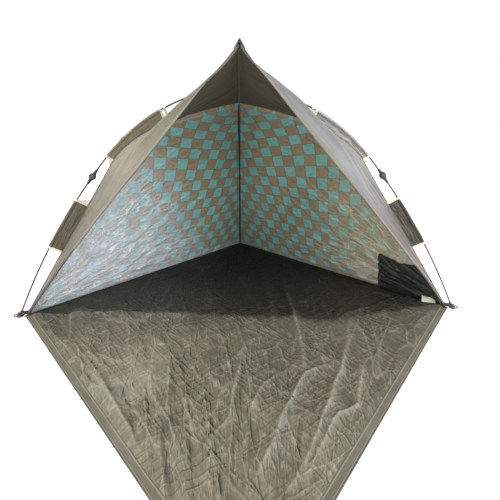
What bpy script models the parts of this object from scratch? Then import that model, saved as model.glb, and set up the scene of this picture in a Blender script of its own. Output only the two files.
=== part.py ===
"""Pop-up beach tent: three bowed legs meet at a hub and carry a cloth shelter on a square floor.

Units are metres and +Z is up. The origin is on the ground, half way between the left and the right
floor corner. The rear half of the square is the floor, and its front half is a door flap that
lies on the ground and swings up into the opening.
"""

from math import asin, atan2, cos, hypot, pi, radians, sin

import bmesh
import bpy
from mathutils import Matrix, Vector

# Cloth shelter
FLOOR_HALF = 1.06            # from the floor's middle to its left, right and rear corner
CROWN_BACK = 0.425           # the crown, where the four ridges meet, behind the side corners
CROWN_HEIGHT = 0.997
CROWN_SLOPE = 0.18           # fall of a ridge where it leaves the crown
SHOULDER_OUT = 0.655         # side ridge: straight from the corner up to this shoulder
SHOULDER_HEIGHT = 0.716
PEAK_FORWARD = 0.21          # tip of the visor, ahead of the side corners
PEAK_HEIGHT = 1.125
CLOTH = 0.0020               # thickness of a cloth panel
PANEL_INSET = 0.0014         # from a ridge line to the end of a panel
CORNER_CUT = 0.030           # length of a panel's sharp corner that its hem takes up
TOUCH = 0.0003               # gap left between pieces that touch

# Floor, fold and door flap
FLOOR_MARGIN = 0.0030        # floor cloth outside the walls' foot line
FLOOR_LIP = 0.0120           # floor cloth ahead of the side corners
FOLD_RADIUS = 0.0020         # rolled seam that the flap folds on
FOLD_END = 0.0300            # from a side corner to the end of the fold seam
FOLD_GAP = 0.0004
FLAP_CLEAR = 0.0140          # between the flap and the line of the opening, when shut
FLAP_ZIP_WIDTH = 0.0100
FLAP_TIP = 0.0200            # length of the tip that is cut off

# Zip on the opening, tapes
ZIP_RADIUS = 0.0025
ZIP_SET_IN = 0.0040          # from the line of the opening to the middle of the zip
ZIP_LOW_END = 0.0600
ZIP_HIGH_END = 0.0300
TAPE_THICKNESS = 0.0010
REAR_TAPE_WIDTH = 0.0070
REAR_TAPE_DEPTH = 0.0056     # below the rear ridge line
REAR_TAPE_END = 0.0200
VISOR_TAPE_WIDTH = 0.0100
VISOR_TAPE_DEPTH = 0.0076    # below the visor ridge line
VISOR_TAPE_END = 0.0250

# Legs
POLE_RADIUS = 0.0035
FOOT_OUT = 0.025             # pole foot, outside the floor corner
FOOT_RADIUS = 0.0150
FOOT_DOME_HEIGHT = 0.0240
POLE_LIFT = 0.0060           # pole end, above the ground
ELBOW_DISTANCE = 0.759       # from the corner along the ridge to the elbow
ELBOW_STANDOFF = 0.0445      # elbow's distance from the ridge
ELBOW_LEAN = radians(4.8)
ELBOW_LENGTH = 0.078
ELBOW_END_RADIUS = 0.0065
ELBOW_MIDDLE_RADIUS = 0.0120
SOCKET_DEPTH = 0.0180
SOCKET_GAP = 0.0004
SLEEVE_GAP = 0.0006
SLEEVE_CLOTH = 0.0015
FIN_CLOTH = 0.0018           # doubled cloth between a sleeve and the ridge
FIN_STANDOFF = 0.0005        # from the ridge line to the fin
LOWER_SLEEVE_GAP = 0.091     # from the elbow's lower mouth to the lower sleeve
LOWER_SLEEVE_LENGTH = 0.268
UPPER_SLEEVE_GAP = 0.076     # from the elbow's upper mouth to the upper sleeve
UPPER_SLEEVE_LENGTH = 0.345
STRAP_LOW = 0.0045
STRAP_WIDTH = 0.0200
STRAP_THICKNESS = 0.0020

# Hub, crown tie and visor strut
HUB_RISE = 0.073             # hub's middle, above the crown
HUB_RADIUS = 0.032
HUB_THICKNESS = 0.036
HUB_CORE = 0.011
HUB_SLOPE = 0.108            # fall of a leg where it leaves the hub
TIE_RADIUS = 0.0035
STRUT_RADIUS = 0.0035
STRUT_OVER_PEAK = 0.0125     # strut's tip, above the peak
PEAK_CAP_RADIUS = 0.0080
PEAK_CAP_LENGTH = 0.0340
PEAK_CAP_WALL = 0.0040

# Mesh pocket on the right wall, and the tag
POCKET_START = 0.045         # along the floor edge, from the side corner
POCKET_TOP_START = 0.148
POCKET_END = 0.345
POCKET_LOW = 0.012           # up the wall, from the floor
POCKET_HIGH_NEAR = 0.222
POCKET_HIGH_FAR = 0.234
POCKET_SAG = 0.015
POCKET_CLOTH = 0.0012
BINDING_WIDTH = 0.008
TAG_LENGTH = 0.065
TAG_WIDTH = 0.038
TAG_THICKNESS = 0.0010
TAG_FROM_CORNER = 0.115
TAG_BACK = 0.040
TAG_TURN = radians(-14.0)

ARC_STEPS = 10
POLE_STEPS = 16
SLEEVE_STEPS = 12
SLEEVE_SIDES = 12
ROUND_SIDES = 24

SIDE_SPAN = hypot(FLOOR_HALF, CROWN_BACK)
REAR_SPAN = FLOOR_HALF - CROWN_BACK
SIDE_ANGLE = atan2(-CROWN_BACK, FLOOR_HALF)
HUB_HEIGHT = CROWN_HEIGHT + HUB_RISE
CROWN = Vector((0.0, CROWN_BACK, CROWN_HEIGHT))
PEAK = Vector((0.0, -PEAK_FORWARD, PEAK_HEIGHT))
FOLD_Y = -FLOOR_LIP - TOUCH - FOLD_RADIUS
FOLD_Z = FOLD_RADIUS

LEGS = {
    "left": (pi - SIDE_ANGLE, 1.0),
    "right": (SIDE_ANGLE, 1.0),
    "rear": (pi / 2, REAR_SPAN / SIDE_SPAN),
}


def clear_scene():
    for item in list(bpy.data.objects):
        bpy.data.objects.remove(item, do_unlink=True)


def new_collection(name):
    collection = bpy.data.collections.new(name)
    bpy.context.scene.collection.children.link(collection)
    return collection


def principled(name, colour, roughness, metallic=0.0):
    material = bpy.data.materials.new(name)
    material.use_nodes = True
    shader = material.node_tree.nodes["Principled BSDF"]
    shader.inputs["Base Color"].default_value = (*colour, 1.0)
    shader.inputs["Roughness"].default_value = roughness
    shader.inputs["Metallic"].default_value = metallic
    return material


def add_object(name, data, collection, material=None, parent=None):
    item = bpy.data.objects.new(name, data)
    collection.objects.link(item)
    if material is not None:
        item.data.materials.append(material)
    if parent is not None:
        item.parent = parent
    return item


def mesh_from(name, build):
    """A mesh made by the function build, which fills the bmesh it is given."""
    shape = bmesh.new()
    build(shape)
    mesh = bpy.data.meshes.new(name)
    shape.to_mesh(mesh)
    shape.free()
    return mesh


def smooth(item, angle=35.0):
    item.data.shade_smooth()
    item.data.set_sharp_from_angle(angle=radians(angle))


def solidify(item, thickness):
    modifier = item.modifiers.new("Thickness", "SOLIDIFY")
    modifier.thickness = thickness
    modifier.offset = 0.0
    return modifier


def cut(item, cutter):
    modifier = item.modifiers.new("Cut", "BOOLEAN")
    modifier.operation = "DIFFERENCE"
    modifier.solver = "EXACT"
    modifier.object = cutter
    cutter.hide_render = True
    cutter.display_type = "WIRE"


# Curves of one leg, as points (out, up) in the upright plane through the crown

def quadratic(start, pull, end, steps):
    points = []
    for step in range(steps + 1):
        t = step / steps
        points.append((1 - t) ** 2 * start + 2 * t * (1 - t) * pull + t * t * end)
    return points


def crossing(start, direction, end, slope):
    """Where the line from start meets the line that falls by slope from end, outwards."""
    reach = (end.y - slope * (start.x - end.x) - start.y) / (direction.y + slope * direction.x)
    return start + direction * reach


def ridge(stretch):
    """Points of a ridge from its corner to the crown, with its outward reach scaled by stretch."""
    corner = Vector((SIDE_SPAN, 0.0))
    shoulder = Vector((SHOULDER_OUT, SHOULDER_HEIGHT))
    crown = Vector((0.0, CROWN_HEIGHT))
    pull = crossing(shoulder, (shoulder - corner).normalized(), crown, CROWN_SLOPE)
    arc = quadratic(shoulder, pull, crown, ARC_STEPS)
    return [Vector((point.x * stretch, point.y)) for point in [corner] + arc]


def elbow_place(stretch):
    """Middle and direction of a leg's elbow."""
    corner, shoulder = ridge(stretch)[:2]
    along = (shoulder - corner).normalized()
    outward = Vector((along.y, -along.x))
    share = ELBOW_DISTANCE / hypot(SIDE_SPAN - SHOULDER_OUT, SHOULDER_HEIGHT)
    middle = corner.lerp(shoulder, share) + outward * ELBOW_STANDOFF
    lean = Matrix.Rotation(ELBOW_LEAN, 2)
    return middle, lean @ along


def lower_pole_path(stretch):
    middle, along = elbow_place(stretch)
    foot = Vector((SIDE_SPAN * stretch + FOOT_OUT, POLE_LIFT))
    mouth = middle - along * (ELBOW_LENGTH / 2)
    pull = mouth - along * ((mouth - foot).length / 2)
    seat = mouth + along * (SOCKET_DEPTH - SOCKET_GAP)
    return quadratic(foot, pull, mouth, POLE_STEPS) + [seat]


def upper_pole_path(stretch):
    middle, along = elbow_place(stretch)
    mouth = middle + along * (ELBOW_LENGTH / 2)
    seat = mouth - along * (SOCKET_DEPTH - SOCKET_GAP)
    rim = Vector((HUB_RADIUS, HUB_HEIGHT - HUB_SLOPE * HUB_RADIUS))
    core_x = HUB_CORE + SOCKET_GAP
    core = Vector((core_x, HUB_HEIGHT - HUB_SLOPE * core_x))
    pull = crossing(mouth, along, rim, HUB_SLOPE)
    return [seat] + quadratic(mouth, pull, rim, POLE_STEPS) + [core]


def at_length(path, length):
    """The point of a path at this length from its start."""
    for first, second in zip(path, path[1:]):
        step = (second - first).length
        if length <= step:
            return first.lerp(second, length / step)
        length -= step
    return path[-1].copy()


def path_length(path):
    return sum((second - first).length for first, second in zip(path, path[1:]))


def nearest(path, point):
    """The point of a path that lies nearest to point."""
    best = None
    for first, second in zip(path, path[1:]):
        run = second - first
        share = max(0.0, min(1.0, (point - first).dot(run) / run.length_squared))
        place = first + run * share
        if best is None or (place - point).length < (best - point).length:
            best = place
    return best


def leg_to_world(point, angle):
    return Vector((point.x * cos(angle), CROWN_BACK + point.x * sin(angle), point.y))


# Cloth panels

def cloth_sheet(name, rows, material, collection, thickness):
    """An open sheet through rows of points, thickened evenly to both sides."""
    def build(shape):
        grid = [[shape.verts.new(point) for point in row] for row in rows]
        for low, high in zip(grid, grid[1:]):
            for column in range(len(low) - 1):
                shape.faces.new((low[column], low[column + 1], high[column + 1], high[column]))
        bmesh.ops.recalc_face_normals(shape, faces=shape.faces)

    item = add_object(name, mesh_from(name, build), collection, material)
    solidify(item, thickness)
    return item


def set_in(edge, following, other):
    """The end of a ruling from edge to other, moved in so that it stays clear of the ridge."""
    along = (following - edge).normalized()
    across = (other - edge).normalized()
    slant = max(0.2, along.cross(across).length)
    return edge + across * (PANEL_INSET / slant)


def side_ridge_world(side):
    points = ridge(1.0)
    return [leg_to_world(point, LEGS[side][0]) for point in points]


def rear_ridge_world():
    angle, stretch = LEGS["rear"]
    return [leg_to_world(point, angle) for point in ridge(stretch)]


def rear_wall(side, material, collection):
    side_points = side_ridge_world(side)
    rear_points = rear_ridge_world()
    foot_height = CLOTH + TOUCH + CLOTH * 0.3
    share = foot_height / SHOULDER_HEIGHT
    side_points[0] = side_points[0].lerp(side_points[1], share)
    rear_points[0] = rear_points[0].lerp(rear_points[1], share)
    top_share = 1.0 - CORNER_CUT / 4 / (side_points[-2] - side_points[-1]).length
    side_points[-1] = side_points[-2].lerp(side_points[-1], top_share)
    rear_points[-1] = rear_points[-2].lerp(rear_points[-1], top_share)
    rows = []
    for index in range(len(side_points)):
        after = index + 1 if index + 1 < len(side_points) else index
        before = after - 1
        side_run = side_points[after] - side_points[before]
        rear_run = rear_points[after] - rear_points[before]
        outer = set_in(side_points[index], side_points[index] + side_run, rear_points[index])
        inner = set_in(rear_points[index], rear_points[index] + rear_run, side_points[index])
        rows.append([outer, inner])
    return cloth_sheet("rear_wall_" + side, rows, material, collection, CLOTH)


def front_panel(side, material, collection):
    sign = -1.0 if side == "left" else 1.0
    corner = Vector((sign * FLOOR_HALF, 0.0, 0.0))
    ridge_points = side_ridge_world(side)
    lengths = [0.0]
    for first, second in zip(ridge_points, ridge_points[1:]):
        lengths.append(lengths[-1] + (second - first).length)
    shares = [length / lengths[-1] for length in lengths]
    opening_points = [corner.lerp(PEAK, share) for share in shares]
    low_share = CORNER_CUT / lengths[1]
    ridge_points[0] = ridge_points[0].lerp(ridge_points[1], low_share)
    opening_points[0] = opening_points[0].lerp(opening_points[1], low_share)
    for points in (ridge_points, opening_points):
        reach = abs(points[-2].x)
        points[-1] = points[-1].lerp(points[-2], PANEL_INSET / reach)
    rows = []
    for index in range(len(ridge_points)):
        after = index + 1 if index + 1 < len(ridge_points) else index
        run = ridge_points[after] - ridge_points[after - 1]
        place = ridge_points[index]
        outer = set_in(place, place + run, opening_points[index])
        rows.append([opening_points[index], outer])
    return cloth_sheet("front_panel_" + side, rows, material, collection, CLOTH)


def flat_plate(name, outline, bottom, thickness, material, collection, parent=None):
    """A flat sheet with its underside at the height bottom."""
    curve = bpy.data.curves.new(name, "CURVE")
    curve.dimensions = "2D"
    curve.fill_mode = "BOTH"
    curve.extrude = thickness / 2
    spline = curve.splines.new("POLY")
    spline.points.add(len(outline) - 1)
    for target, point in zip(spline.points, outline):
        target.co = (point[0], point[1], 0.0, 1.0)
    spline.use_cyclic_u = True
    item = add_object(name, curve, collection, material, parent)
    item.location.z = bottom + thickness / 2
    return item


def floor_sheet(material, collection):
    half = FLOOR_HALF + FLOOR_MARGIN
    lip_half = half - FLOOR_LIP
    outline = [(half, 0.0), (0.0, half), (-half, 0.0), (-lip_half, -FLOOR_LIP), (lip_half, -FLOOR_LIP)]
    return flat_plate("floor_sheet", outline, 0.0, CLOTH, material, collection)


def rod(name, points, radius, material, collection, parent=None):
    """A round bar with closed ends along a path."""
    curve = bpy.data.curves.new(name, "CURVE")
    curve.dimensions = "3D"
    curve.bevel_depth = radius
    curve.bevel_resolution = 2
    curve.use_fill_caps = True
    spline = curve.splines.new("POLY")
    spline.points.add(len(points) - 1)
    for target, point in zip(spline.points, points):
        target.co = (*point, 1.0)
    return add_object(name, curve, collection, material, parent)


def fold_seam(material, collection):
    reach = FLOOR_HALF - FOLD_END
    points = [(-reach, FOLD_Y, FOLD_Z), (reach, FOLD_Y, FOLD_Z)]
    return rod("fold_seam", points, FOLD_RADIUS, material, collection)


# Door flap, drawn on the ground with its fold along X

def flap_half_width(distance, clearance):
    """Half the flap's width at a distance from the fold axis, for a clearance to the opening."""
    height = hypot(PEAK_FORWARD + FOLD_Y, PEAK_HEIGHT - FOLD_Z)
    slant = hypot(1 / FLOOR_HALF, 1 / height)
    return FLOOR_HALF * (1 - distance / height - clearance * slant)


def flap_tip_distance(clearance):
    height = hypot(PEAK_FORWARD + FOLD_Y, PEAK_HEIGHT - FOLD_Z)
    return height * (1 - clearance * hypot(1 / FLOOR_HALF, 1 / height)) - FLAP_TIP


def front_flap(material, collection, hinge):
    root = FOLD_RADIUS + FOLD_GAP
    clearance = FLAP_CLEAR + FLAP_ZIP_WIDTH + TOUCH
    tip = flap_tip_distance(clearance)
    root_half = flap_half_width(root, clearance)
    tip_half = flap_half_width(tip, clearance)
    outline = [(-root_half, -root), (-tip_half, -tip), (tip_half, -tip), (root_half, -root)]
    return flat_plate("front_flap", outline, -FOLD_Z, CLOTH, material, collection, hinge)


def flap_zip(side, material, collection, hinge):
    sign = -1.0 if side == "left" else 1.0
    root = FOLD_RADIUS + FOLD_GAP
    inner = FLAP_CLEAR + FLAP_ZIP_WIDTH
    tip = flap_tip_distance(inner + TOUCH)
    outline = []
    for distance, clearance in ((root, inner), (tip, inner), (tip, FLAP_CLEAR), (root, FLAP_CLEAR)):
        outline.append((sign * flap_half_width(distance, clearance), -distance))
    return flat_plate("flap_zip_" + side, outline, -FOLD_Z, CLOTH, material, collection, hinge)


def opening_zip(side, material, collection):
    sign = -1.0 if side == "left" else 1.0
    corner = Vector((sign * FLOOR_HALF, 0.0, 0.0))
    along = (PEAK - corner).normalized()
    inward = Vector((-sign, 0.0, 0.0))
    inward = (inward - along * inward.dot(along)).normalized()
    start = corner + along * ZIP_LOW_END + inward * ZIP_SET_IN
    end = PEAK - along * ZIP_HIGH_END + inward * ZIP_SET_IN
    return rod("opening_zip_" + side, [start, end], ZIP_RADIUS, material, collection)


def ridge_tape(name, points, depth, width, material, collection):
    """A flat tape below a ridge in the plane X = 0."""
    rows = []
    for index, point in enumerate(points):
        after = index + 1 if index + 1 < len(points) else index
        run = (points[after] - points[after - 1]).normalized()
        below = Vector((0.0, run.z, -run.y))
        if below.z > 0 or (abs(below.z) < 0.5 and below.y > 0):
            below = -below
        middle = point + below * depth
        half = Vector((width / 2, 0.0, 0.0))
        rows.append([middle - half, middle + half])
    return cloth_sheet(name, rows, material, collection, TAPE_THICKNESS)


def rear_seam_tape(material, collection):
    points = rear_ridge_world()
    points[0] = points[0] + (points[1] - points[0]).normalized() * REAR_TAPE_END
    points[-1] = points[-1] + (points[-2] - points[-1]).normalized() * REAR_TAPE_END
    return ridge_tape("rear_seam_tape", points, REAR_TAPE_DEPTH, REAR_TAPE_WIDTH, material, collection)


def visor_ridge_tape(material, collection):
    along = (PEAK - CROWN).normalized()
    points = [CROWN + along * VISOR_TAPE_END, PEAK - along * VISOR_TAPE_END]
    return ridge_tape("visor_ridge_tape", points, VISOR_TAPE_DEPTH, VISOR_TAPE_WIDTH, material, collection)


# Pieces of a leg, drawn in the leg's own plane: X is outwards and Z is up

def flat_to_leg(point):
    return Vector((point.x, 0.0, point.y))


def leg_sleeve(name, path, ridge_path, start, length, material, collection, parent):
    """A cloth tube round the pole, with a fin that reaches in to the ridge."""
    inner_radius = (POLE_RADIUS + SLEEVE_GAP) / cos(pi / SLEEVE_SIDES)
    outer_radius = inner_radius + SLEEVE_CLOTH
    slit = asin(FIN_CLOTH / 2 / outer_radius)
    angles = [slit + (2 * pi - 2 * slit) * step / SLEEVE_SIDES for step in range(SLEEVE_SIDES + 1)]

    def build(shape):
        rings = []
        for step in range(SLEEVE_STEPS + 1):
            middle = at_length(path, start + length * step / SLEEVE_STEPS)
            base = nearest(ridge_path, middle)
            inward = flat_to_leg((base - middle).normalized())
            across = Vector((0.0, 1.0, 0.0))
            centre = flat_to_leg(middle)
            outer = []
            inner = []
            for angle in angles:
                direction = inward * cos(angle) + across * sin(angle)
                outer.append(shape.verts.new(centre + direction * outer_radius))
                inner.append(shape.verts.new(centre + direction * inner_radius))
            hem = flat_to_leg(base) - inward * FIN_STANDOFF
            half = across * (FIN_CLOTH / 2)
            fin = [shape.verts.new(hem - half), shape.verts.new(hem + half)]
            rings.append((outer + fin, inner))
        for (outer_a, inner_a), (outer_b, inner_b) in zip(rings, rings[1:]):
            for loop_a, loop_b in ((outer_a, outer_b), (inner_a, inner_b)):
                count = len(loop_a)
                for index in range(count):
                    after = (index + 1) % count
                    shape.faces.new((loop_a[index], loop_a[after], loop_b[after], loop_b[index]))
        for outer, inner in (rings[0], rings[-1]):
            for index in range(SLEEVE_SIDES):
                shape.faces.new((outer[index], outer[index + 1], inner[index + 1], inner[index]))
            fin_low, fin_high = outer[-2], outer[-1]
            shape.faces.new((outer[0], inner[0], inner[-1], outer[SLEEVE_SIDES], fin_low, fin_high))
        bmesh.ops.recalc_face_normals(shape, faces=shape.faces)

    item = add_object(name, mesh_from(name, build), collection, material, parent)
    smooth(item)
    return item


def turned(name, profile, material, collection, parent):
    """A turned piece from a profile of (radius, height) points, top to bottom."""
    def build(shape):
        points = [shape.verts.new((radius, 0.0, height)) for radius, height in profile]
        for first, second in zip(points, points[1:]):
            shape.edges.new((first, second))

    item = add_object(name, mesh_from(name, build), collection, material, parent)
    screw = item.modifiers.new("Turn", "SCREW")
    screw.axis = "Z"
    screw.steps = ROUND_SIDES
    screw.render_steps = ROUND_SIDES
    screw.use_merge_vertices = True
    screw.merge_threshold = 0.00001
    screw.use_normal_calculate = False
    screw.use_normal_flip = False
    return item


def elbow(side, stretch, material, collection, parent):
    middle, along = elbow_place(stretch)
    half = ELBOW_LENGTH / 2
    bore = POLE_RADIUS + SOCKET_GAP
    seat = half - SOCKET_DEPTH
    profile = [(0.0, seat), (bore, seat), (bore, half), (ELBOW_END_RADIUS, half)]
    belly_steps = 8
    for step in range(1, belly_steps):
        share = step / belly_steps
        swell = sin(pi * share) ** 2 * (ELBOW_MIDDLE_RADIUS - ELBOW_END_RADIUS)
        profile.append((ELBOW_END_RADIUS + swell, half - ELBOW_LENGTH * share))
    profile += [(ELBOW_END_RADIUS, -half), (bore, -half), (bore, -seat), (0.0, -seat)]
    item = turned("elbow_" + side, profile, material, collection, parent)
    item.location = flat_to_leg(middle)
    item.rotation_euler.y = atan2(along.x, along.y)
    return item


def foot_centre(stretch):
    """Distance of a foot's middle from the crown, where the pole's line meets the ground."""
    path = lower_pole_path(stretch)
    along = (path[1] - path[0]).normalized()
    return path[0].x - along.x * path[0].y / along.y


def foot(side, stretch, material, collection, cutters, parent):
    path = lower_pole_path(stretch)
    along = (path[1] - path[0]).normalized()
    profile = []
    dome_steps = 8
    for step in range(dome_steps + 1):
        angle = pi / 2 * step / dome_steps
        profile.append((FOOT_RADIUS * sin(angle), FOOT_DOME_HEIGHT * cos(angle)))
    profile.append((0.0, 0.0))
    item = turned("foot_" + side, profile, material, collection, parent)
    item.location.x = foot_centre(stretch)

    def build(shape):
        bmesh.ops.create_cone(shape, cap_ends=True, segments=ROUND_SIDES, depth=2 * FOOT_DOME_HEIGHT,
                              radius1=POLE_RADIUS + SOCKET_GAP, radius2=POLE_RADIUS + SOCKET_GAP)

    cutter = add_object("foot_socket_" + side, mesh_from("foot_socket", build), cutters, None, parent)
    start = path[0] - along * SOCKET_GAP + along * FOOT_DOME_HEIGHT
    cutter.location = flat_to_leg(start)
    cutter.rotation_euler.y = atan2(along.x, along.y)
    cut(item, cutter)
    return item


def corner_strap(side, stretch, material, collection, parent):
    """Webbing tab that ties the floor's corner to the pole's foot."""
    edge = ridge(stretch)
    edge_way = (edge[1] - edge[0]).normalized()
    pole = lower_pole_path(stretch)
    pole_way = (pole[1] - pole[0]).normalized()
    middle = foot_centre(stretch)
    rows = []
    for height in (STRAP_LOW, STRAP_LOW + STRAP_WIDTH):
        inner = edge[0] + edge_way * (height / edge_way.y)
        beside_pole = (height * abs(pole_way.x) + POLE_RADIUS + TOUCH) / pole_way.y
        outer_x = middle - max(FOOT_RADIUS + TOUCH, beside_pole)
        rows.append([flat_to_leg(inner), Vector((outer_x, 0.0, height))])
    item = cloth_sheet("corner_strap_" + side, rows, material, collection, STRAP_THICKNESS)
    item.parent = parent
    return item


def leg(side, materials, collection, cutters):
    angle, stretch = LEGS[side]
    plane = bpy.data.objects.new("leg_" + side, None)
    collection.objects.link(plane)
    plane.location = (0.0, CROWN_BACK, 0.0)
    plane.rotation_euler.z = angle
    lower = lower_pole_path(stretch)
    upper = upper_pole_path(stretch)
    edge = ridge(stretch)
    rod("lower_pole_" + side, [flat_to_leg(p) for p in lower], POLE_RADIUS,
        materials["pole"], collection, plane)
    rod("upper_pole_" + side, [flat_to_leg(p) for p in upper], POLE_RADIUS,
        materials["pole"], collection, plane)
    elbow(side, stretch, materials["plastic"], collection, plane)
    foot(side, stretch, materials["plastic"], collection, cutters, plane)
    corner_strap(side, stretch, materials["webbing"], collection, plane)
    lower_start = path_length(lower[:-1]) - LOWER_SLEEVE_GAP - LOWER_SLEEVE_LENGTH
    leg_sleeve("lower_sleeve_" + side, lower, edge, lower_start, LOWER_SLEEVE_LENGTH,
               materials["sleeve"], collection, plane)
    upper_start = SOCKET_DEPTH + UPPER_SLEEVE_GAP
    leg_sleeve("upper_sleeve_" + side, upper, edge, upper_start, UPPER_SLEEVE_LENGTH,
               materials["sleeve"], collection, plane)
    return plane


# Hub, crown tie and visor strut

def strut_ends():
    hub_centre = Vector((0.0, CROWN_BACK, HUB_HEIGHT))
    tip = PEAK + Vector((0.0, 0.0, STRUT_OVER_PEAK))
    along = (tip - hub_centre).normalized()
    start = hub_centre + along * (HUB_CORE + SOCKET_GAP)
    return start, tip, along


def socket_cutter(name, angle, slope, radius, cutters):
    """A bar that cuts one pole socket into the hub."""
    length = 2 * HUB_RADIUS

    def build(shape):
        bmesh.ops.create_cone(shape, cap_ends=True, segments=ROUND_SIDES, depth=length,
                              radius1=radius, radius2=radius)

    cutter = add_object(name, mesh_from(name, build), cutters)
    flat = Vector((1.0, -slope))
    flat.normalize()
    start = Vector((HUB_CORE, HUB_HEIGHT - slope * HUB_CORE))
    cutter.location = leg_to_world(start + flat * (length / 2), angle)
    cutter.rotation_mode = "QUATERNION"
    direction = Vector((flat.x * cos(angle), flat.x * sin(angle), flat.y))
    cutter.rotation_quaternion = direction.to_track_quat("Z", "Y")
    return cutter


def hub(material, collection, cutters):
    def build(shape):
        bmesh.ops.create_cone(shape, cap_ends=True, segments=ROUND_SIDES * 2, depth=HUB_THICKNESS,
                              radius1=HUB_RADIUS, radius2=HUB_RADIUS)

    item = add_object("hub", mesh_from("hub", build), collection, material)
    item.location = (0.0, CROWN_BACK, HUB_HEIGHT)
    along = strut_ends()[2]
    strut_slope = -along.z / hypot(along.x, along.y)
    for side, (angle, _) in LEGS.items():
        cut(item, socket_cutter("hub_socket_" + side, angle, HUB_SLOPE, POLE_RADIUS + SOCKET_GAP, cutters))
    cut(item, socket_cutter("hub_socket_strut", -pi / 2, strut_slope, STRUT_RADIUS + SOCKET_GAP, cutters))
    return item


def crown_tie(material, collection):
    """Short cord that hangs the crown from the hub."""
    low = CROWN_HEIGHT + CLOTH
    high = HUB_HEIGHT - HUB_THICKNESS / 2 - TOUCH
    points = [(0.0, CROWN_BACK, low), (0.0, CROWN_BACK, high)]
    return rod("crown_tie", points, TIE_RADIUS, material, collection)


def visor_strut(material, collection):
    start, tip, _ = strut_ends()
    return rod("visor_strut", [start, tip], STRUT_RADIUS, material, collection)


def peak_cap(material, collection):
    """Closed cap on the strut's tip, where the visor is sewn on."""
    _, tip, along = strut_ends()
    bore = STRUT_RADIUS + SOCKET_GAP
    depth = PEAK_CAP_LENGTH - PEAK_CAP_WALL
    profile = [
        (0.0, PEAK_CAP_WALL),
        (PEAK_CAP_RADIUS, PEAK_CAP_WALL),
        (PEAK_CAP_RADIUS, -depth),
        (bore, -depth),
        (bore, SOCKET_GAP),
        (0.0, SOCKET_GAP),
    ]
    item = turned("peak_cap", profile, material, collection, None)
    item.location = tip
    item.rotation_mode = "QUATERNION"
    item.rotation_quaternion = along.to_track_quat("Z", "Y")
    return item


# Mesh pocket and tag

def right_wall_frame():
    """Corner, floor edge direction, up direction and inward normal of the right wall's flat part."""
    corner = Vector((FLOOR_HALF, 0.0, 0.0))
    along = Vector((-1.0, 1.0, 0.0)).normalized()
    slope = side_ridge_world("right")[1] - corner
    inward = along.cross(slope).normalized()
    if inward.y > 0:
        inward = -inward
    upward = along.cross(inward).normalized()
    if upward.z < 0:
        upward = -upward
    return corner, along, upward, inward


def on_right_wall(reach, height, stand_off):
    corner, along, upward, inward = right_wall_frame()
    return corner + along * reach + upward * height + inward * stand_off


def pocket_top(share):
    straight = POCKET_HIGH_NEAR + (POCKET_HIGH_FAR - POCKET_HIGH_NEAR) * share
    return straight - POCKET_SAG * sin(pi * share)


def mesh_pocket(material, collection):
    stand_off = CLOTH / 2 + TOUCH + POCKET_CLOTH / 2
    steps = 8
    low_row = []
    high_row = []
    for step in range(steps + 1):
        share = step / steps
        low_reach = POCKET_START + (POCKET_END - POCKET_START) * share
        high_reach = POCKET_TOP_START + (POCKET_END - POCKET_TOP_START) * share
        low_row.append(on_right_wall(low_reach, POCKET_LOW, stand_off))
        high_row.append(on_right_wall(high_reach, pocket_top(share), stand_off))
    return cloth_sheet("mesh_pocket", [low_row, high_row], material, collection, POCKET_CLOTH)


def pocket_binding(material, collection):
    stand_off = CLOTH / 2 + TOUCH + POCKET_CLOTH / 2
    near = POCKET_END + TOUCH
    far = near + BINDING_WIDTH
    rows = [
        [on_right_wall(near, POCKET_LOW, stand_off), on_right_wall(far, POCKET_LOW, stand_off)],
        [on_right_wall(near, POCKET_HIGH_FAR, stand_off), on_right_wall(far, POCKET_HIGH_FAR, stand_off)],
    ]
    return cloth_sheet("pocket_binding", rows, material, collection, POCKET_CLOTH)


def blank_tag(material, collection):
    half_length = TAG_LENGTH / 2
    half_width = TAG_WIDTH / 2
    outline = [(-half_length, -half_width), (half_length, -half_width),
               (half_length, half_width), (-half_length, half_width)]
    item = flat_plate("blank_tag", outline, CLOTH + TOUCH, TAG_THICKNESS, material, collection)
    item.location.x = FLOOR_HALF - TAG_FROM_CORNER
    item.location.y = TAG_BACK
    item.rotation_euler.z = TAG_TURN
    return item


def make_materials():
    return {
        "wall": principled("wall_cloth", (0.26, 0.33, 0.31), 0.45),
        "shell": principled("shell_cloth", (0.30, 0.27, 0.21), 0.55),
        "sleeve": principled("sleeve_cloth", (0.16, 0.14, 0.09), 0.6),
        "floor": principled("floor_cloth", (0.07, 0.06, 0.05), 0.5),
        "flap": principled("flap_cloth", (0.13, 0.11, 0.09), 0.45),
        "tape": principled("black_tape", (0.015, 0.015, 0.015), 0.6),
        "webbing": principled("webbing", (0.02, 0.02, 0.02), 0.7),
        "plastic": principled("black_plastic", (0.02, 0.02, 0.02), 0.4),
        "pole": principled("fibreglass", (0.05, 0.05, 0.05), 0.35),
        "mesh": principled("mesh_cloth", (0.03, 0.035, 0.035), 0.7),
        "tag": principled("tag_cloth", (0.75, 0.70, 0.58), 0.7),
    }


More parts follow.
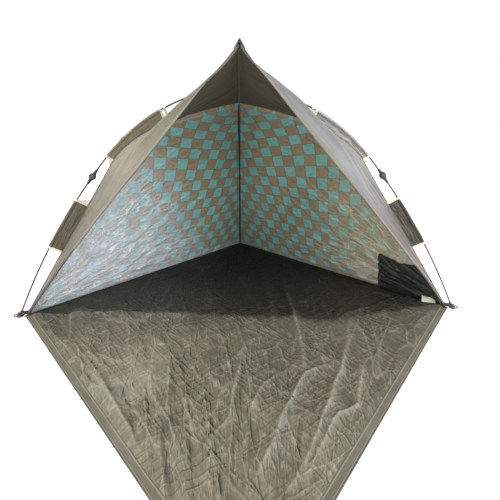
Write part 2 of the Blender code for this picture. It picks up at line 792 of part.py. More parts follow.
def main():
    clear_scene()
    collection = new_collection("beach_tent")
    cutters = new_collection("cutters")
    materials = make_materials()
    floor_sheet(materials["floor"], collection)
    fold_seam(materials["tape"], collection)
    hinge = bpy.data.objects.new("flap_fold", None)
    collection.objects.link(hinge)
    hinge.location = (0.0, FOLD_Y, FOLD_Z)
    front_flap(materials["flap"], collection, hinge)
    for side in ("left", "right"):
        rear_wall(side, materials["wall"], collection)
        front_panel(side, materials["shell"], collection)
        opening_zip(side, materials["tape"], collection)
        flap_zip(side, materials["tape"], collection, hinge)
    rear_seam_tape(materials["tape"], collection)
    visor_ridge_tape(materials["tape"], collection)
    for side in LEGS:
        leg(side, materials, collection, cutters)
    hub(materials["plastic"], collection, cutters)
    crown_tie(materials["webbing"], collection)
    visor_strut(materials["pole"], collection)
    peak_cap(materials["plastic"], collection)
    mesh_pocket(materials["mesh"], collection)
    pocket_binding(materials["tape"], collection)
    blank_tag(materials["tag"], collection)


main()
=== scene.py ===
"""Looks of a pop-up beach tent: creased cloth, seams and hems, sleeves, rods and plastic fittings."""

from math import asin, atan2, cos, hypot, pi, radians, sin, sqrt

import bmesh
import bpy
import numpy as np
from mathutils import Matrix, Vector


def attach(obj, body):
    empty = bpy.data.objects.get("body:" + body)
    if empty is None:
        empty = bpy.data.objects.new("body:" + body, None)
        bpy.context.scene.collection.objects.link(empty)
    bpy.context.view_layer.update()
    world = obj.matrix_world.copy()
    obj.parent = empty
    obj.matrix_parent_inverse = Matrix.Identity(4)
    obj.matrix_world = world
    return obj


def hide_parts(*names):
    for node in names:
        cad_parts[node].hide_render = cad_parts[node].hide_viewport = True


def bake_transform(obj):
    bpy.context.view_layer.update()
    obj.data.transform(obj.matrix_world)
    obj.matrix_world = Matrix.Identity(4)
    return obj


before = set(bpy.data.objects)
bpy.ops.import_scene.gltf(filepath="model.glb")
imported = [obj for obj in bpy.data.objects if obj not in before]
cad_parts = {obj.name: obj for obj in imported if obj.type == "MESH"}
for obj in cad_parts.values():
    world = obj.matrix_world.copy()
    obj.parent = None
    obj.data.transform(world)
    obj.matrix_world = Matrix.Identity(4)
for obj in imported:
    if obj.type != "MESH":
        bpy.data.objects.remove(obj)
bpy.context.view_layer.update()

# Driving sizes, the same as the solid model's
FLOOR_HALF = 1.06
CROWN_BACK = 0.425
CROWN_HEIGHT = 0.997
CROWN_SLOPE = 0.18
SHOULDER_OUT = 0.655
SHOULDER_HEIGHT = 0.716
PEAK_FORWARD = 0.21
PEAK_HEIGHT = 1.125
FLOOR_MARGIN = 0.003
FOLD_Y = -0.0143
FOLD_Z = 0.002
FOOT_OUT = 0.025
POLE_LIFT = 0.006
ELBOW_DISTANCE = 0.759
ELBOW_STANDOFF = 0.0445
ELBOW_LEAN = radians(4.8)
ELBOW_LENGTH = 0.078
LOWER_SLEEVE_GAP = 0.091
LOWER_SLEEVE_LENGTH = 0.268
UPPER_SLEEVE_GAP = 0.076
UPPER_SLEEVE_LENGTH = 0.345
HUB_RISE = 0.073
HUB_RADIUS = 0.032
HUB_SLOPE = 0.108
STRUT_OVER_PEAK = 0.0125
POCKET_START = 0.028
POCKET_TOP_START = 0.148
POCKET_END = 0.345
POCKET_LOW = 0.012
POCKET_HIGH_NEAR = 0.222
POCKET_HIGH_FAR = 0.234
POCKET_SAG = 0.015

# Cloth of the scene's own pieces
CLOTH = 0.0014
EDGE_CALM = 0.035            # folds die out this far from a seam
OPENING_CALM = 0.045
FLAP_EDGE_GAP = 0.004        # between the flap's edge and the line of the opening
FLAP_TIP_RADIUS = 0.030
JOIN_Y = 0.004               # where the floor's cloth and the flap's cloth meet
HEM_WIDTH = 0.022
OPENING_BOW = {-1.0: 0.050, 1.0: 0.036}
OPENING_FLARE = {-1.0: 0.016, 1.0: 0.009}     # the edge leans outwards below the visor's tip
# how far the panels' cloth rolls outwards over its edge, and the shares between which the roll runs out
ROLL = {-1.0: (0.036, 0.72, 1.02), 1.0: (0.046, 0.80, 1.04)}

SPAN = hypot(FLOOR_HALF, CROWN_BACK)
PEAK = np.array([0.0, -PEAK_FORWARD, PEAK_HEIGHT])
TIP_LIFT = np.array([0.0, 0.0, 0.010])     # the visor's tip is drawn up to the strut
SIDES = {"left": -1.0, "right": 1.0}
LEGS = {
    "left": (pi - atan2(-CROWN_BACK, FLOOR_HALF), 1.0),
    "right": (atan2(-CROWN_BACK, FLOOR_HALF), 1.0),
    "rear": (pi / 2, (FLOOR_HALF - CROWN_BACK) / SPAN),
}


# Camera

CAMERA_PLACE = (-0.0098, -1.456, 0.8658)
CAMERA_PITCH = 0.3474
CAMERA_YAW = -0.0427
CAMERA_ROLL = 0.0025
CAMERA_LENS = 23.62


def make_camera():
    data = bpy.data.cameras.new("camera")
    data.lens = CAMERA_LENS
    data.sensor_width = 36.0
    data.shift_x = -0.0044
    data.shift_y = -0.0040
    data.clip_start = 0.05
    item = new_object("camera", data)
    turn = Matrix.Rotation(CAMERA_YAW, 4, "Z") @ Matrix.Rotation(pi / 2 - CAMERA_PITCH, 4, "X")
    turn = turn @ Matrix.Rotation(CAMERA_ROLL, 4, "Z")
    item.matrix_world = Matrix.Translation(CAMERA_PLACE) @ turn
    bpy.context.scene.camera = item


# Random fields for folds and creases

TABLE = 64


def cells(x, y, seed):
    """Squared distance to the nearest of scattered points, one to a unit square."""
    scatter = np.random.default_rng(seed).random((TABLE, TABLE, 2))
    column = np.floor(x).astype(int)
    row = np.floor(y).astype(int)
    nearest = np.full(np.shape(x), 9.0)
    for across in (-1, 0, 1):
        for up in (-1, 0, 1):
            spot = scatter[(column + across) % TABLE, (row + up) % TABLE]
            reach_x = column + across + spot[..., 0] - x
            reach_y = row + up + spot[..., 1] - y
            nearest = np.minimum(nearest, reach_x ** 2 + reach_y ** 2)
    return nearest


def drift(x, y, seed):
    """Smooth noise between -1 and 1, with one value to a unit square."""
    values = np.random.default_rng(seed).uniform(-1, 1, (TABLE, TABLE))
    column = np.floor(x).astype(int)
    row = np.floor(y).astype(int)
    u = x - column
    v = y - row
    u = u * u * (3 - 2 * u)
    v = v * v * (3 - 2 * v)

    def value(across, up):
        return values[(column + across) % TABLE, (row + up) % TABLE]

    low = value(0, 0) * (1 - u) + value(1, 0) * u
    high = value(0, 1) * (1 - u) + value(1, 1) * u
    return low * (1 - v) + high * v


def crumple(x, y, long, wide, seed):
    """Facets with sharp ridges and valleys, long along x and wide along y, roughly within 0.5."""
    u = x / long + 0.7 * drift(x / long * 0.6, y / wide * 0.6, seed + 1)
    v = y / wide + 0.7 * drift(x / long * 0.6, y / wide * 0.6, seed + 2)
    return cells(u, v, seed) - cells(u * 0.83 + 11.3, v * 0.83 + 5.7, seed + 3)


def rise(x, low, high):
    """Smooth step from 0 at low to 1 at high."""
    t = np.clip((x - low) / (high - low), 0.0, 1.0)
    return t * t * (3 - 2 * t)


def crease(x, y, line, height, width):
    """A sharp-crested fold along a line of points, steep on one side, that runs out at both ends."""
    points = np.array(line)
    runs = np.diff(points, axis=0)
    steps = np.hypot(runs[:, 0], runs[:, 1])
    travelled = np.concatenate([[0.0], np.cumsum(steps)]) / steps.sum()
    gap = np.full(np.shape(x), 9.0)
    side = np.zeros(np.shape(x))
    share = np.zeros(np.shape(x))
    wander = 0.010 * drift(x * 9, y * 9, 71)
    for index, run in enumerate(runs):
        way = run / steps[index]
        reach_x, reach_y = x - points[index, 0], y - points[index, 1]
        along = np.clip((reach_x * way[0] + reach_y * way[1]) / steps[index], 0.0, 1.0)
        off_x = reach_x - run[0] * along + wander
        off_y = reach_y - run[1] * along
        distance = np.hypot(off_x, off_y)
        closer = distance < gap
        gap = np.where(closer, distance, gap)
        side = np.where(closer, way[0] * off_y - way[1] * off_x, side)
        share = np.where(closer, travelled[index] + along * (travelled[index + 1] - travelled[index]), share)
    fade = np.clip(4 * share * (1 - share), 0.0, 1.0) ** 0.5
    return height * fade * np.exp(-gap / np.where(side > 0, width, width * 0.45))


# Lines of the shelter

def make_profile():
    """Reach and height of the side ridge, and the share of its length at each point."""
    corner = np.array([SPAN, 0.0])
    shoulder = np.array([SHOULDER_OUT, SHOULDER_HEIGHT])
    crown = np.array([0.0, CROWN_HEIGHT])
    along = (shoulder - corner) / np.linalg.norm(shoulder - corner)
    drop = crown[1] - CROWN_SLOPE * shoulder[0] - shoulder[1]
    pull = shoulder + along * drop / (along[1] + CROWN_SLOPE * along[0])
    straight = np.linspace(0, 1, 60)[:-1, None]
    t = np.linspace(0, 1, 120)[:, None]
    arc = (1 - t) ** 2 * shoulder + 2 * t * (1 - t) * pull + t * t * crown
    points = np.vstack([corner + (shoulder - corner) * straight, arc])
    lengths = np.concatenate([[0.0], np.cumsum(np.linalg.norm(np.diff(points, axis=0), axis=1))])
    return points[:, 0], points[:, 1], lengths / lengths[-1]


REACH, HEIGHT, SHARE = make_profile()
WALL_OUT = (CROWN_BACK + REACH * (FLOOR_HALF - CROWN_BACK) / SPAN) / sqrt(2)
WALL_UP = np.concatenate([[0.0], np.cumsum(np.hypot(np.diff(WALL_OUT), np.diff(HEIGHT)))])
WALL_CORNER = -FLOOR_HALF / sqrt(2)
OPENING_LENGTH = float(np.linalg.norm(PEAK - np.array([FLOOR_HALF, 0.0, 0.0])))


def side_ridge(sign, share):
    reach = np.interp(share, SHARE, REACH)
    up = np.interp(share, SHARE, HEIGHT)
    return np.stack([sign * reach * FLOOR_HALF / SPAN, CROWN_BACK * (1 - reach / SPAN), up], axis=-1)


def rear_ridge(share):
    reach = np.interp(share, SHARE, REACH)
    up = np.interp(share, SHARE, HEIGHT)
    back = CROWN_BACK + reach * (FLOOR_HALF - CROWN_BACK) / SPAN
    return np.stack([np.zeros_like(back), back, up], axis=-1)


def opening_line(sign, share):
    corner = np.array([sign * FLOOR_HALF, 0.0, 0.0])
    return corner + (PEAK - corner) * np.asarray(share)[..., None]


def unit(vectors):
    return vectors / np.maximum(np.linalg.norm(vectors, axis=-1, keepdims=True), 1e-12)


def sideways(sign):
    """Way square to an opening's line, out of the opening."""
    along = unit(PEAK - np.array([sign * FLOOR_HALF, 0.0, 0.0]))
    across = np.array([sign, 0.0, 0.0])
    return unit(across - along * (across @ along))


def opening_edge(sign, share):
    """The free edge of a front panel, pulled out of the straight line by the cloth's tension."""
    line = opening_line(sign, share)
    outward = unit(side_ridge(sign, share) - line)
    bow = OPENING_BOW[sign] * np.clip(4 * share * (1 - share), 0.0, 1.0) ** 0.55
    width = np.linalg.norm(side_ridge(sign, share) - line, axis=-1)
    flare = OPENING_FLARE[sign] * rise(share, 0.55, 0.88) * (1 - rise(share, 0.90, 1.0))
    lift = TIP_LIFT * rise(share, 0.93, 1.0)[..., None]
    return line + outward * np.minimum(bow, width * 0.3)[..., None] + sideways(sign) * flare[..., None] + lift


def panel_place(sign, share, across):
    """A place on a front panel: across is the distance from its free edge."""
    edge = opening_edge(sign, share)
    ridge = side_ridge(sign, share)
    size, start, end = ROLL[sign]
    roll = size * rise(share, 0.46, 0.70) * (1 - rise(share, start, end)) * rise(1 - share, 0.0, 0.05)
    roll = roll * rise(across, 0.0, 0.050) * (1 - rise(across, 0.075, 0.28))
    width = np.linalg.norm(ridge - edge, axis=-1)
    roll = roll * np.minimum(width / 0.30, 1.0) ** 2
    place = edge + unit(ridge - edge) * np.asarray(across)[..., None]
    return place + sideways(sign) * roll[..., None]


# Meshes of cloth

def surface_normals(points):
    return unit(np.cross(np.gradient(points, axis=1), np.gradient(points, axis=0)))


def new_object(name, data):
    item = bpy.data.objects.new(name, data)
    bpy.context.scene.collection.objects.link(item)
    return item


def grid_faces(rows, columns, first):
    """Quads of a grid whose vertices are numbered row by row from first."""
    index = first + np.arange(rows * columns).reshape(rows, columns)
    quads = np.stack([index[:-1, :-1], index[:-1, 1:], index[1:, 1:], index[1:, :-1]], axis=-1)
    return quads.reshape(-1, 4)


def rim_faces(rows, columns):
    """Quads that join the border of the upper layer to that of the lower one."""
    index = np.arange(rows * columns).reshape(rows, columns)
    border = np.concatenate([index[0, :-1], index[:-1, -1], index[-1, :0:-1], index[:0:-1, 0]])
    after = np.roll(border, -1)
    below = rows * columns
    return np.stack([border, border + below, after + below, after], axis=-1)


def cloth(name, points, maps, face, back, thickness=CLOTH):
    """A sheet with two layers and a rim. face covers the side that the normals point to."""
    rows, columns = points.shape[:2]
    normals = surface_normals(points)
    upper = (points + normals * thickness / 2).reshape(-1, 3)
    lower = (points - normals * thickness / 2).reshape(-1, 3)
    top = grid_faces(rows, columns, 0)
    bottom = grid_faces(rows, columns, rows * columns)[:, ::-1]
    rim = rim_faces(rows, columns)
    faces = np.vstack([top, bottom, rim])
    mesh = bpy.data.meshes.new(name)
    mesh.from_pydata(np.vstack([upper, lower]).tolist(), [], faces.tolist())
    mesh.materials.append(face)
    mesh.materials.append(back)
    index = np.zeros(len(faces), dtype=np.int32)
    index[len(top):len(top) + len(bottom)] = 1
    mesh.polygons.foreach_set("material_index", index)
    corners = np.zeros(len(mesh.loops), dtype=np.int32)
    mesh.loops.foreach_get("vertex_index", corners)
    for map_name, values in maps.items():
        layer = mesh.uv_layers.new(name=map_name)
        flat = values.reshape(-1, 2)
        both = np.vstack([flat, flat])[corners]
        layer.data.foreach_set("uv", both.astype(np.float32).ravel())
    mesh.shade_smooth()
    return new_object(name, mesh)


def trim_cloth(name, points, places, material, thickness=0.0008):
    """A sheet with one material on both sides, and one map for its cloth and its grain."""
    return cloth(name, points, {"cloth": places, "grain": places}, material, material, thickness)


# Node helpers

def new_material(name):
    material = bpy.data.materials.new(name)
    material.use_nodes = True
    return material, material.node_tree, material.node_tree.nodes["Principled BSDF"]


def add(tree, kind, inputs=None, **settings):
    made = tree.nodes.new(kind)
    for key, value in settings.items():
        setattr(made, key, value)
    for key, value in (inputs or {}).items():
        if isinstance(value, bpy.types.NodeSocket):
            tree.links.new(value, made.inputs[key])
        else:
            made.inputs[key].default_value = value
    return made


WHITE = (1, 1, 1, 1)
BLACK = (0, 0, 0, 1)


def maths(tree, operation, first, second=0.0):
    return add(tree, "ShaderNodeMath", {0: first, 1: second}, operation=operation).outputs[0]


def times(tree, first, second):
    return maths(tree, "MULTIPLY", first, second)


def map_of(tree, name):
    return add(tree, "ShaderNodeUVMap", uv_map=name).outputs[0]


def spread(tree, vector, scale):
    return add(tree, "ShaderNodeVectorMath", {0: vector, 1: scale}, operation="MULTIPLY").outputs[0]


def noise(tree, vector, scale, detail=3.0, roughness=0.55):
    inputs = {"Vector": vector, "Scale": scale, "Detail": detail, "Roughness": roughness}
    return add(tree, "ShaderNodeTexNoise", inputs).outputs["Fac"]


def ramp(tree, fac, low, high, colour_low=BLACK, colour_high=WHITE):
    made = add(tree, "ShaderNodeValToRGB", {"Fac": fac})
    first, last = made.color_ramp.elements
    first.position, first.color = low, colour_low
    last.position, last.color = high, colour_high
    return made.outputs["Color"]


def mix(tree, fac, first, second, mode="MIX"):
    made = add(tree, "ShaderNodeMix", data_type="RGBA", blend_type=mode)
    for socket, value in ((made.inputs[0], fac), (made.inputs[6], first), (made.inputs[7], second)):
        if isinstance(value, bpy.types.NodeSocket):
            tree.links.new(value, socket)
        else:
            socket.default_value = value
    return made.outputs[2]


def bump(tree, height, distance, strength=1.0, normal=None):
    inputs = {"Height": height, "Distance": distance, "Strength": strength}
    if normal is not None:
        inputs["Normal"] = normal
    return add(tree, "ShaderNodeBump", inputs).outputs["Normal"]


def warped(tree, vector, scale, amount):
    """The vector with smooth noise added to it."""
    inputs = {"Vector": vector, "Scale": scale, "Detail": 2.0}
    wander = add(tree, "ShaderNodeTexNoise", inputs).outputs["Color"]
    bent = spread(tree, wander, (amount, amount, 0.0))
    return add(tree, "ShaderNodeVectorMath", {0: vector, 1: bent}, operation="ADD").outputs[0]


def scattered(tree, vector, scale=1.0, **settings):
    inputs = {"Vector": vector, "Scale": scale}
    return add(tree, "ShaderNodeTexVoronoi", inputs, voronoi_dimensions="2D", **settings)


def unevenness(tree):
    """Soft patches with streaks along the grain."""
    patches = noise(tree, map_of(tree, "cloth"), 3.0, 5.0)
    streaks = noise(tree, spread(tree, map_of(tree, "grain"), (2.5, 40.0, 1.0)), 1.0, 3.0)
    return maths(tree, "ADD", times(tree, patches, 0.6), times(tree, streaks, 0.4))


def tones(colour, low, high):
    """A darker and a lighter tone of a colour."""
    return [tuple(part * share for part in colour) + (1.0,) for share in (low, high)]


def set_gloss(tree, shader, value, low, high):
    """Roughness from low to high, where the value goes from 0 to 1."""
    gloss = add(tree, "ShaderNodeMapRange", {"Value": value, "To Min": low, "To Max": high})
    tree.links.new(gloss.outputs[0], shader.inputs["Roughness"])


def crinkles(tree, long, wide):
    """Height of fine sharp creases that run along the cloth's grain map."""
    grain = spread(tree, map_of(tree, "grain"), (1 / long, 1 / wide, 1.0))
    place = warped(tree, grain, 0.7, 1.3)
    squares = []
    for scale in (1.0, 0.83):
        squares.append(maths(tree, "POWER", scattered(tree, place, scale).outputs["Distance"], 2.0))
    return maths(tree, "SUBTRACT", squares[0], squares[1])


def weave(tree, pitch=0.0012):
    """Height of a plain weave."""
    threads = spread(tree, map_of(tree, "cloth"), (1 / pitch, 1 / pitch, 1.0))
    warp = add(tree, "ShaderNodeTexWave", {"Vector": threads, "Scale": 1.0}, bands_direction="X")
    weft = add(tree, "ShaderNodeTexWave", {"Vector": threads, "Scale": 1.0}, bands_direction="Y")
    return maths(tree, "MAXIMUM", warp.outputs["Fac"], weft.outputs["Fac"])


def fabric(name, colour, roughness=0.42, fine=(0.05, 0.012), fine_height=0.0012, glow=0.35, sheen=0.15,
           gloss_level=0.5, folds=()):
    """Thin coated polyester. colour is a function that makes the base colour in the node tree."""
    material, tree, shader = new_material(name)
    creases = bump(tree, crinkles(tree, *fine), fine_height)
    for size, source, turn, height in folds:
        edge, _, shown = web(tree, size, source, turn)
        ridge = ramp(tree, edge, 0.0, 0.24, WHITE, BLACK)
        shown = maths(tree, "ADD", 0.3, times(tree, shown, 0.7))
        creases = bump(tree, times(tree, ridge, shown), height, normal=creases)
    small = bump(tree, crinkles(tree, fine[0] * 0.45, fine[1] * 0.45), fine_height * 0.35, normal=creases)
    threads = bump(tree, weave(tree), 0.00005, 0.6, small)
    tree.links.new(threads, shader.inputs["Normal"])
    base = colour(tree)
    if isinstance(base, bpy.types.NodeSocket):
        tree.links.new(base, shader.inputs["Base Color"])
    else:
        shader.inputs["Base Color"].default_value = base
    uneven = noise(tree, map_of(tree, "cloth"), 6.0, 4.0)
    set_gloss(tree, shader, uneven, roughness - 0.06, roughness + 0.08)
    shader.inputs["Subsurface Weight"].default_value = glow
    shader.inputs["Subsurface Radius"].default_value = (1.0, 1.0, 1.0)
    shader.inputs["Subsurface Scale"].default_value = 0.0025
    shader.inputs["Sheen Weight"].default_value = sheen
    shader.inputs["Sheen Roughness"].default_value = 0.4
    shader.inputs["Specular IOR Level"].default_value = gloss_level
    return material


def mottled(colour, amount=0.18):
    """A plain dyed cloth whose tone varies a little."""
    def build(tree):
        return ramp(tree, unevenness(tree), 0.35, 0.65, *tones(colour, 1 - amount, 1 + amount))
    return build


TEAL = (0.205, 0.43, 0.425, 1.0)
BROWN = (0.305, 0.225, 0.140, 1.0)
LINE = (0.15, 0.215, 0.165, 1.0)
# painted sheen on the left wall: a pale tone and a warmer second tone that stand in for light reflected near the
# opening
PAINTED_SHEEN_LEFT = (0.60, 0.65, 0.72, 1.0)
PAINTED_SHEEN_WARM_LEFT = (0.58, 0.53, 0.50, 1.0)
# painted highlight on the crease crests and painted shade in the crease valleys of the left wall
PAINTED_CREST_HIGHLIGHT_LEFT = (0.86, 0.87, 0.88, 1.0)
PAINTED_VALLEY_SHADE_LEFT = (0.30, 0.36, 0.42, 1.0)
# painted sheen on the right wall: a pale tone and a warmer second tone that stand in for light on its outer part
PAINTED_SHEEN_RIGHT = (0.52, 0.51, 0.40, 1.0)
PAINTED_SHEEN_WARM_RIGHT = (0.46, 0.40, 0.27, 1.0)
# painted highlight on the crease crests and painted shade in the crease valleys of the right wall
PAINTED_CREST_HIGHLIGHT_RIGHT = (0.78, 0.72, 0.50, 1.0)
PAINTED_VALLEY_SHADE_RIGHT = (0.16, 0.17, 0.12, 1.0)


def web(tree, size, source, turn):
    """Distance to the edges of a web of creases, a value for each facet, and where the creases show."""
    place = map_of(tree, source)
    if turn:
        place = add(tree, "ShaderNodeMapping", {"Vector": place, "Rotation": (0.0, 0.0, turn)}).outputs[0]
    grain = spread(tree, place, (1 / size[0], 1 / size[1], 1.0))
    grain = warped(tree, grain, 0.8, 0.75)
    edges = scattered(tree, grain, feature="DISTANCE_TO_EDGE")
    value = add(tree, "ShaderNodeSeparateColor", {0: scattered(tree, grain).outputs["Color"]}).outputs[0]
    patches = noise(tree, spread(tree, place, (0.7 / size[0], 0.25 / size[1], 1.0)), 1.0, 2.0)
    return edges.outputs["Distance"], value, ramp(tree, patches, 0.44, 0.60)


def creased(tree, colour, fold, amount, painted_light, painted_shade, line=0.10):
    """Painted highlights as pale broken lines on a web of creases, and painted shade that darkens some facets.
    """
    edge, facet, shown = web(tree, *fold[:3])
    crest_highlight = mix(tree, 1.0, ramp(tree, edge, 0.0, line, WHITE, BLACK), shown, "MULTIPLY")
    shadow = times(tree, ramp(tree, facet, 0.25, 1.0), amount)
    shadow = times(tree, shadow, 0.28)
    return mix(tree, times(tree, crest_highlight, amount), mix(tree, shadow, colour, painted_shade), painted_light)


def checked(painted_sheen, painted_sheen_warm, crest_highlight_colour, valley_shade_colour):
    """Teal and brown squares with thin green lines between them, paled by a painted sheen where the tone map's
    first value says and darkened by painted shade where its second says.
    """
    def build(tree):
        print_map = map_of(tree, "check")
        inputs = {"Vector": print_map, "Scale": 1.0, "Color1": TEAL, "Color2": BROWN}
        squares = add(tree, "ShaderNodeTexChecker", inputs)
        parts = add(tree, "ShaderNodeSeparateXYZ", {0: print_map})
        across = maths(tree, "PINGPONG", parts.outputs[0], 0.5)
        up = maths(tree, "PINGPONG", parts.outputs[1], 0.5)
        line = ramp(tree, maths(tree, "MINIMUM", across, up), 0.020, 0.055)
        lined = mix(tree, line, LINE, squares.outputs["Color"])
        patches = noise(tree, map_of(tree, "cloth"), 5.0, 4.0)
        dusty = ramp(tree, patches, 0.3, 0.7, (0.86, 0.86, 0.86, 1), (1.0, 1.0, 0.98, 1))
        toned = mix(tree, 1.0, lined, dusty, "MULTIPLY")
        tone = add(tree, "ShaderNodeSeparateXYZ", {0: map_of(tree, "tone")})
        streaks = noise(tree, spread(tree, map_of(tree, "grain"), (9.0, 60.0, 1.0)), 1.0, 4.0)
        uneven = times(tree, maths(tree, "SUBTRACT", streaks, 0.5), 1.3)
        fade = times(tree, tone.outputs[0], maths(tree, "ADD", 1.0, uneven))
        clouds = noise(tree, map_of(tree, "cloth"), 9.0, 3.0)
        tint = ramp(tree, clouds, 0.42, 0.60, BLACK, (0.75, 0.75, 0.75, 1))
        # painted sheen: the print is mixed towards the pale tones as far as the tone map's first value says
        print_with_painted_light = mix(tree, fade, toned, mix(tree, tint, painted_sheen, painted_sheen_warm))
        # painted highlights on the creases' crests and painted shade on some facets, as strong as the painted
        # sheen
        for fold in WALL_FOLDS:
            print_with_painted_light = creased(tree, print_with_painted_light, fold, tone.outputs[0], crest_highlight_colour, valley_shade_colour, 0.13)
        # painted shade: the tone map's second value darkens the wall
        level = tone.outputs[1]
        shade = add(tree, "ShaderNodeCombineXYZ", {0: level, 1: level, 2: level})
        return mix(tree, 1.0, print_with_painted_light, shade.outputs[0], "MULTIPLY")
    return build


PALEST = 1.35


def ground_colour_with_painted_light(tree):
    """Dark coated cloth, paler where the tone map paints light on it and darker where it paints shade, with
    painted highlights on the crests of its creases and a few pale scratches.
    """
    tone = add(tree, "ShaderNodeSeparateXYZ", {0: map_of(tree, "tone")})
    level = times(tree, tone.outputs[1], 1 / PALEST)
    palest = tuple(PALEST * part for part in (0.103, 0.095, 0.069)) + (1.0,)
    # painted shade: the tone map's lowest level gives the near-black floor inside the tent
    plain = ramp(tree, level, 0.0, 1.0, (0.0115, 0.0105, 0.0072, 1), palest)
    uneven = ramp(tree, unevenness(tree), 0.33, 0.67, (0.72, 0.72, 0.72, 1), (1.22, 1.22, 1.18, 1))
    base = mix(tree, 1.0, plain, uneven, "MULTIPLY")
    amount = maths(tree, "MINIMUM", times(tree, tone.outputs[1], 0.66), 0.66)
    for fold in GROUND_FOLDS:
        base = creased(tree, base, fold, amount, (0.240, 0.224, 0.178, 1), (0.062, 0.056, 0.041, 1), 0.060)
    # painted highlights on the crests of the main creases
    base = mix(tree, tone.outputs[0], base, (0.27, 0.257, 0.225, 1))
    wander = noise(tree, map_of(tree, "cloth"), 9.0, 3.0)
    lines = maths(tree, "ABSOLUTE", maths(tree, "SUBTRACT", wander, 0.5))
    where = ramp(tree, noise(tree, map_of(tree, "cloth"), 4.5, 2.0), 0.50, 0.62)
    scratch = mix(tree, 1.0, ramp(tree, lines, 0.0, 0.010, WHITE, BLACK), where, "MULTIPLY")
    return mix(tree, times(tree, scratch, 0.55), base, (0.19, 0.165, 0.12, 1))


def hem_lines(tree):
    """Ground cloth with the paler ridges of its folded hem."""
    parts = add(tree, "ShaderNodeSeparateXYZ", {0: map_of(tree, "cloth")})
    total = None
    for place in (0.0035, 0.0215):
        off = maths(tree, "ABSOLUTE", maths(tree, "SUBTRACT", parts.outputs[1], place))
        line = ramp(tree, maths(tree, "DIVIDE", off, 0.0016), 0.3, 1.0, WHITE, BLACK)
        total = line if total is None else mix(tree, 1.0, total, line, "ADD")
    patches = noise(tree, map_of(tree, "cloth"), 12.0, 4.0)
    plain = ramp(tree, patches, 0.3, 0.7, (0.070, 0.065, 0.048, 1), (0.108, 0.100, 0.075, 1))
    return mix(tree, total, plain, (0.16, 0.149, 0.116, 1))


def shaded(colour, amount=0.22):
    """A dyed cloth, darkened by painted shade from the tone map."""
    def build(tree):
        tone = add(tree, "ShaderNodeSeparateXYZ", {0: map_of(tree, "tone")})
        cool, red = tone.outputs[0], tone.outputs[1]
        shade = add(tree, "ShaderNodeCombineXYZ", {0: red, 1: cool, 2: cool})
        return mix(tree, 1.0, mottled(colour, amount)(tree), shade.outputs[0], "MULTIPLY")
    return build


def hard(name, colour, roughness, grain=600.0, depth=0.00006, patches=12.0):
    """Moulded plastic or a drawn rod: a fine grain, and a tone and gloss that vary a little."""
    material, tree, shader = new_material(name)
    place = add(tree, "ShaderNodeTexCoord").outputs["Object"]
    speckle = noise(tree, place, grain, 2.0)
    tree.links.new(bump(tree, speckle, depth), shader.inputs["Normal"])
    tone = noise(tree, place, patches, 4.0)
    tree.links.new(ramp(tree, tone, 0.3, 0.7, *tones(colour, 0.75, 1.35)), shader.inputs["Base Color"])
    set_gloss(tree, shader, tone, roughness - 0.08, roughness + 0.1)
    return material


def webbing(name, colour, pitch=0.0016):
    """Woven tape: close ribs across it, seen in object space."""
    material, tree, shader = new_material(name)
    place = add(tree, "ShaderNodeTexCoord").outputs["Object"]
    ribs = add(tree, "ShaderNodeTexWave", {"Vector": place, "Scale": 0.5 / pitch, "Distortion": 1.0},
               bands_direction="DIAGONAL").outputs["Fac"]
    tree.links.new(bump(tree, ribs, 0.0003), shader.inputs["Normal"])
    tree.links.new(ramp(tree, ribs, 0.2, 0.8, *tones(colour, 0.7, 1.2)), shader.inputs["Base Color"])
    shader.inputs["Roughness"].default_value = 0.75
    shader.inputs["Sheen Weight"].default_value = 0.2
    return material


# webs of creases: length and width of a facet, the map they follow, how far they turn from it, their height
GROUND_FOLDS = (
    ((0.40, 0.060), "grain", 0.0, 0.0075),
    ((0.24, 0.028), "cloth", 0.85, 0.0044),
    ((0.20, 0.025), "cloth", -0.55, 0.0038),
    ((0.16, 0.021), "cloth", 1.50, 0.0028),
    ((0.12, 0.022), "grain", 0.15, 0.0013),
)
WALL_FOLDS = (
    ((0.110, 0.020), "grain", 0.10, 0.0032),
    ((0.050, 0.014), "cloth", 0.65, 0.0021),
)


def sleeve_cloth(name, colour):
    return fabric("sleeve_cloth_" + name, mottled(colour, 0.28), 0.48, (0.06, 0.009), 0.0024, 0.1)


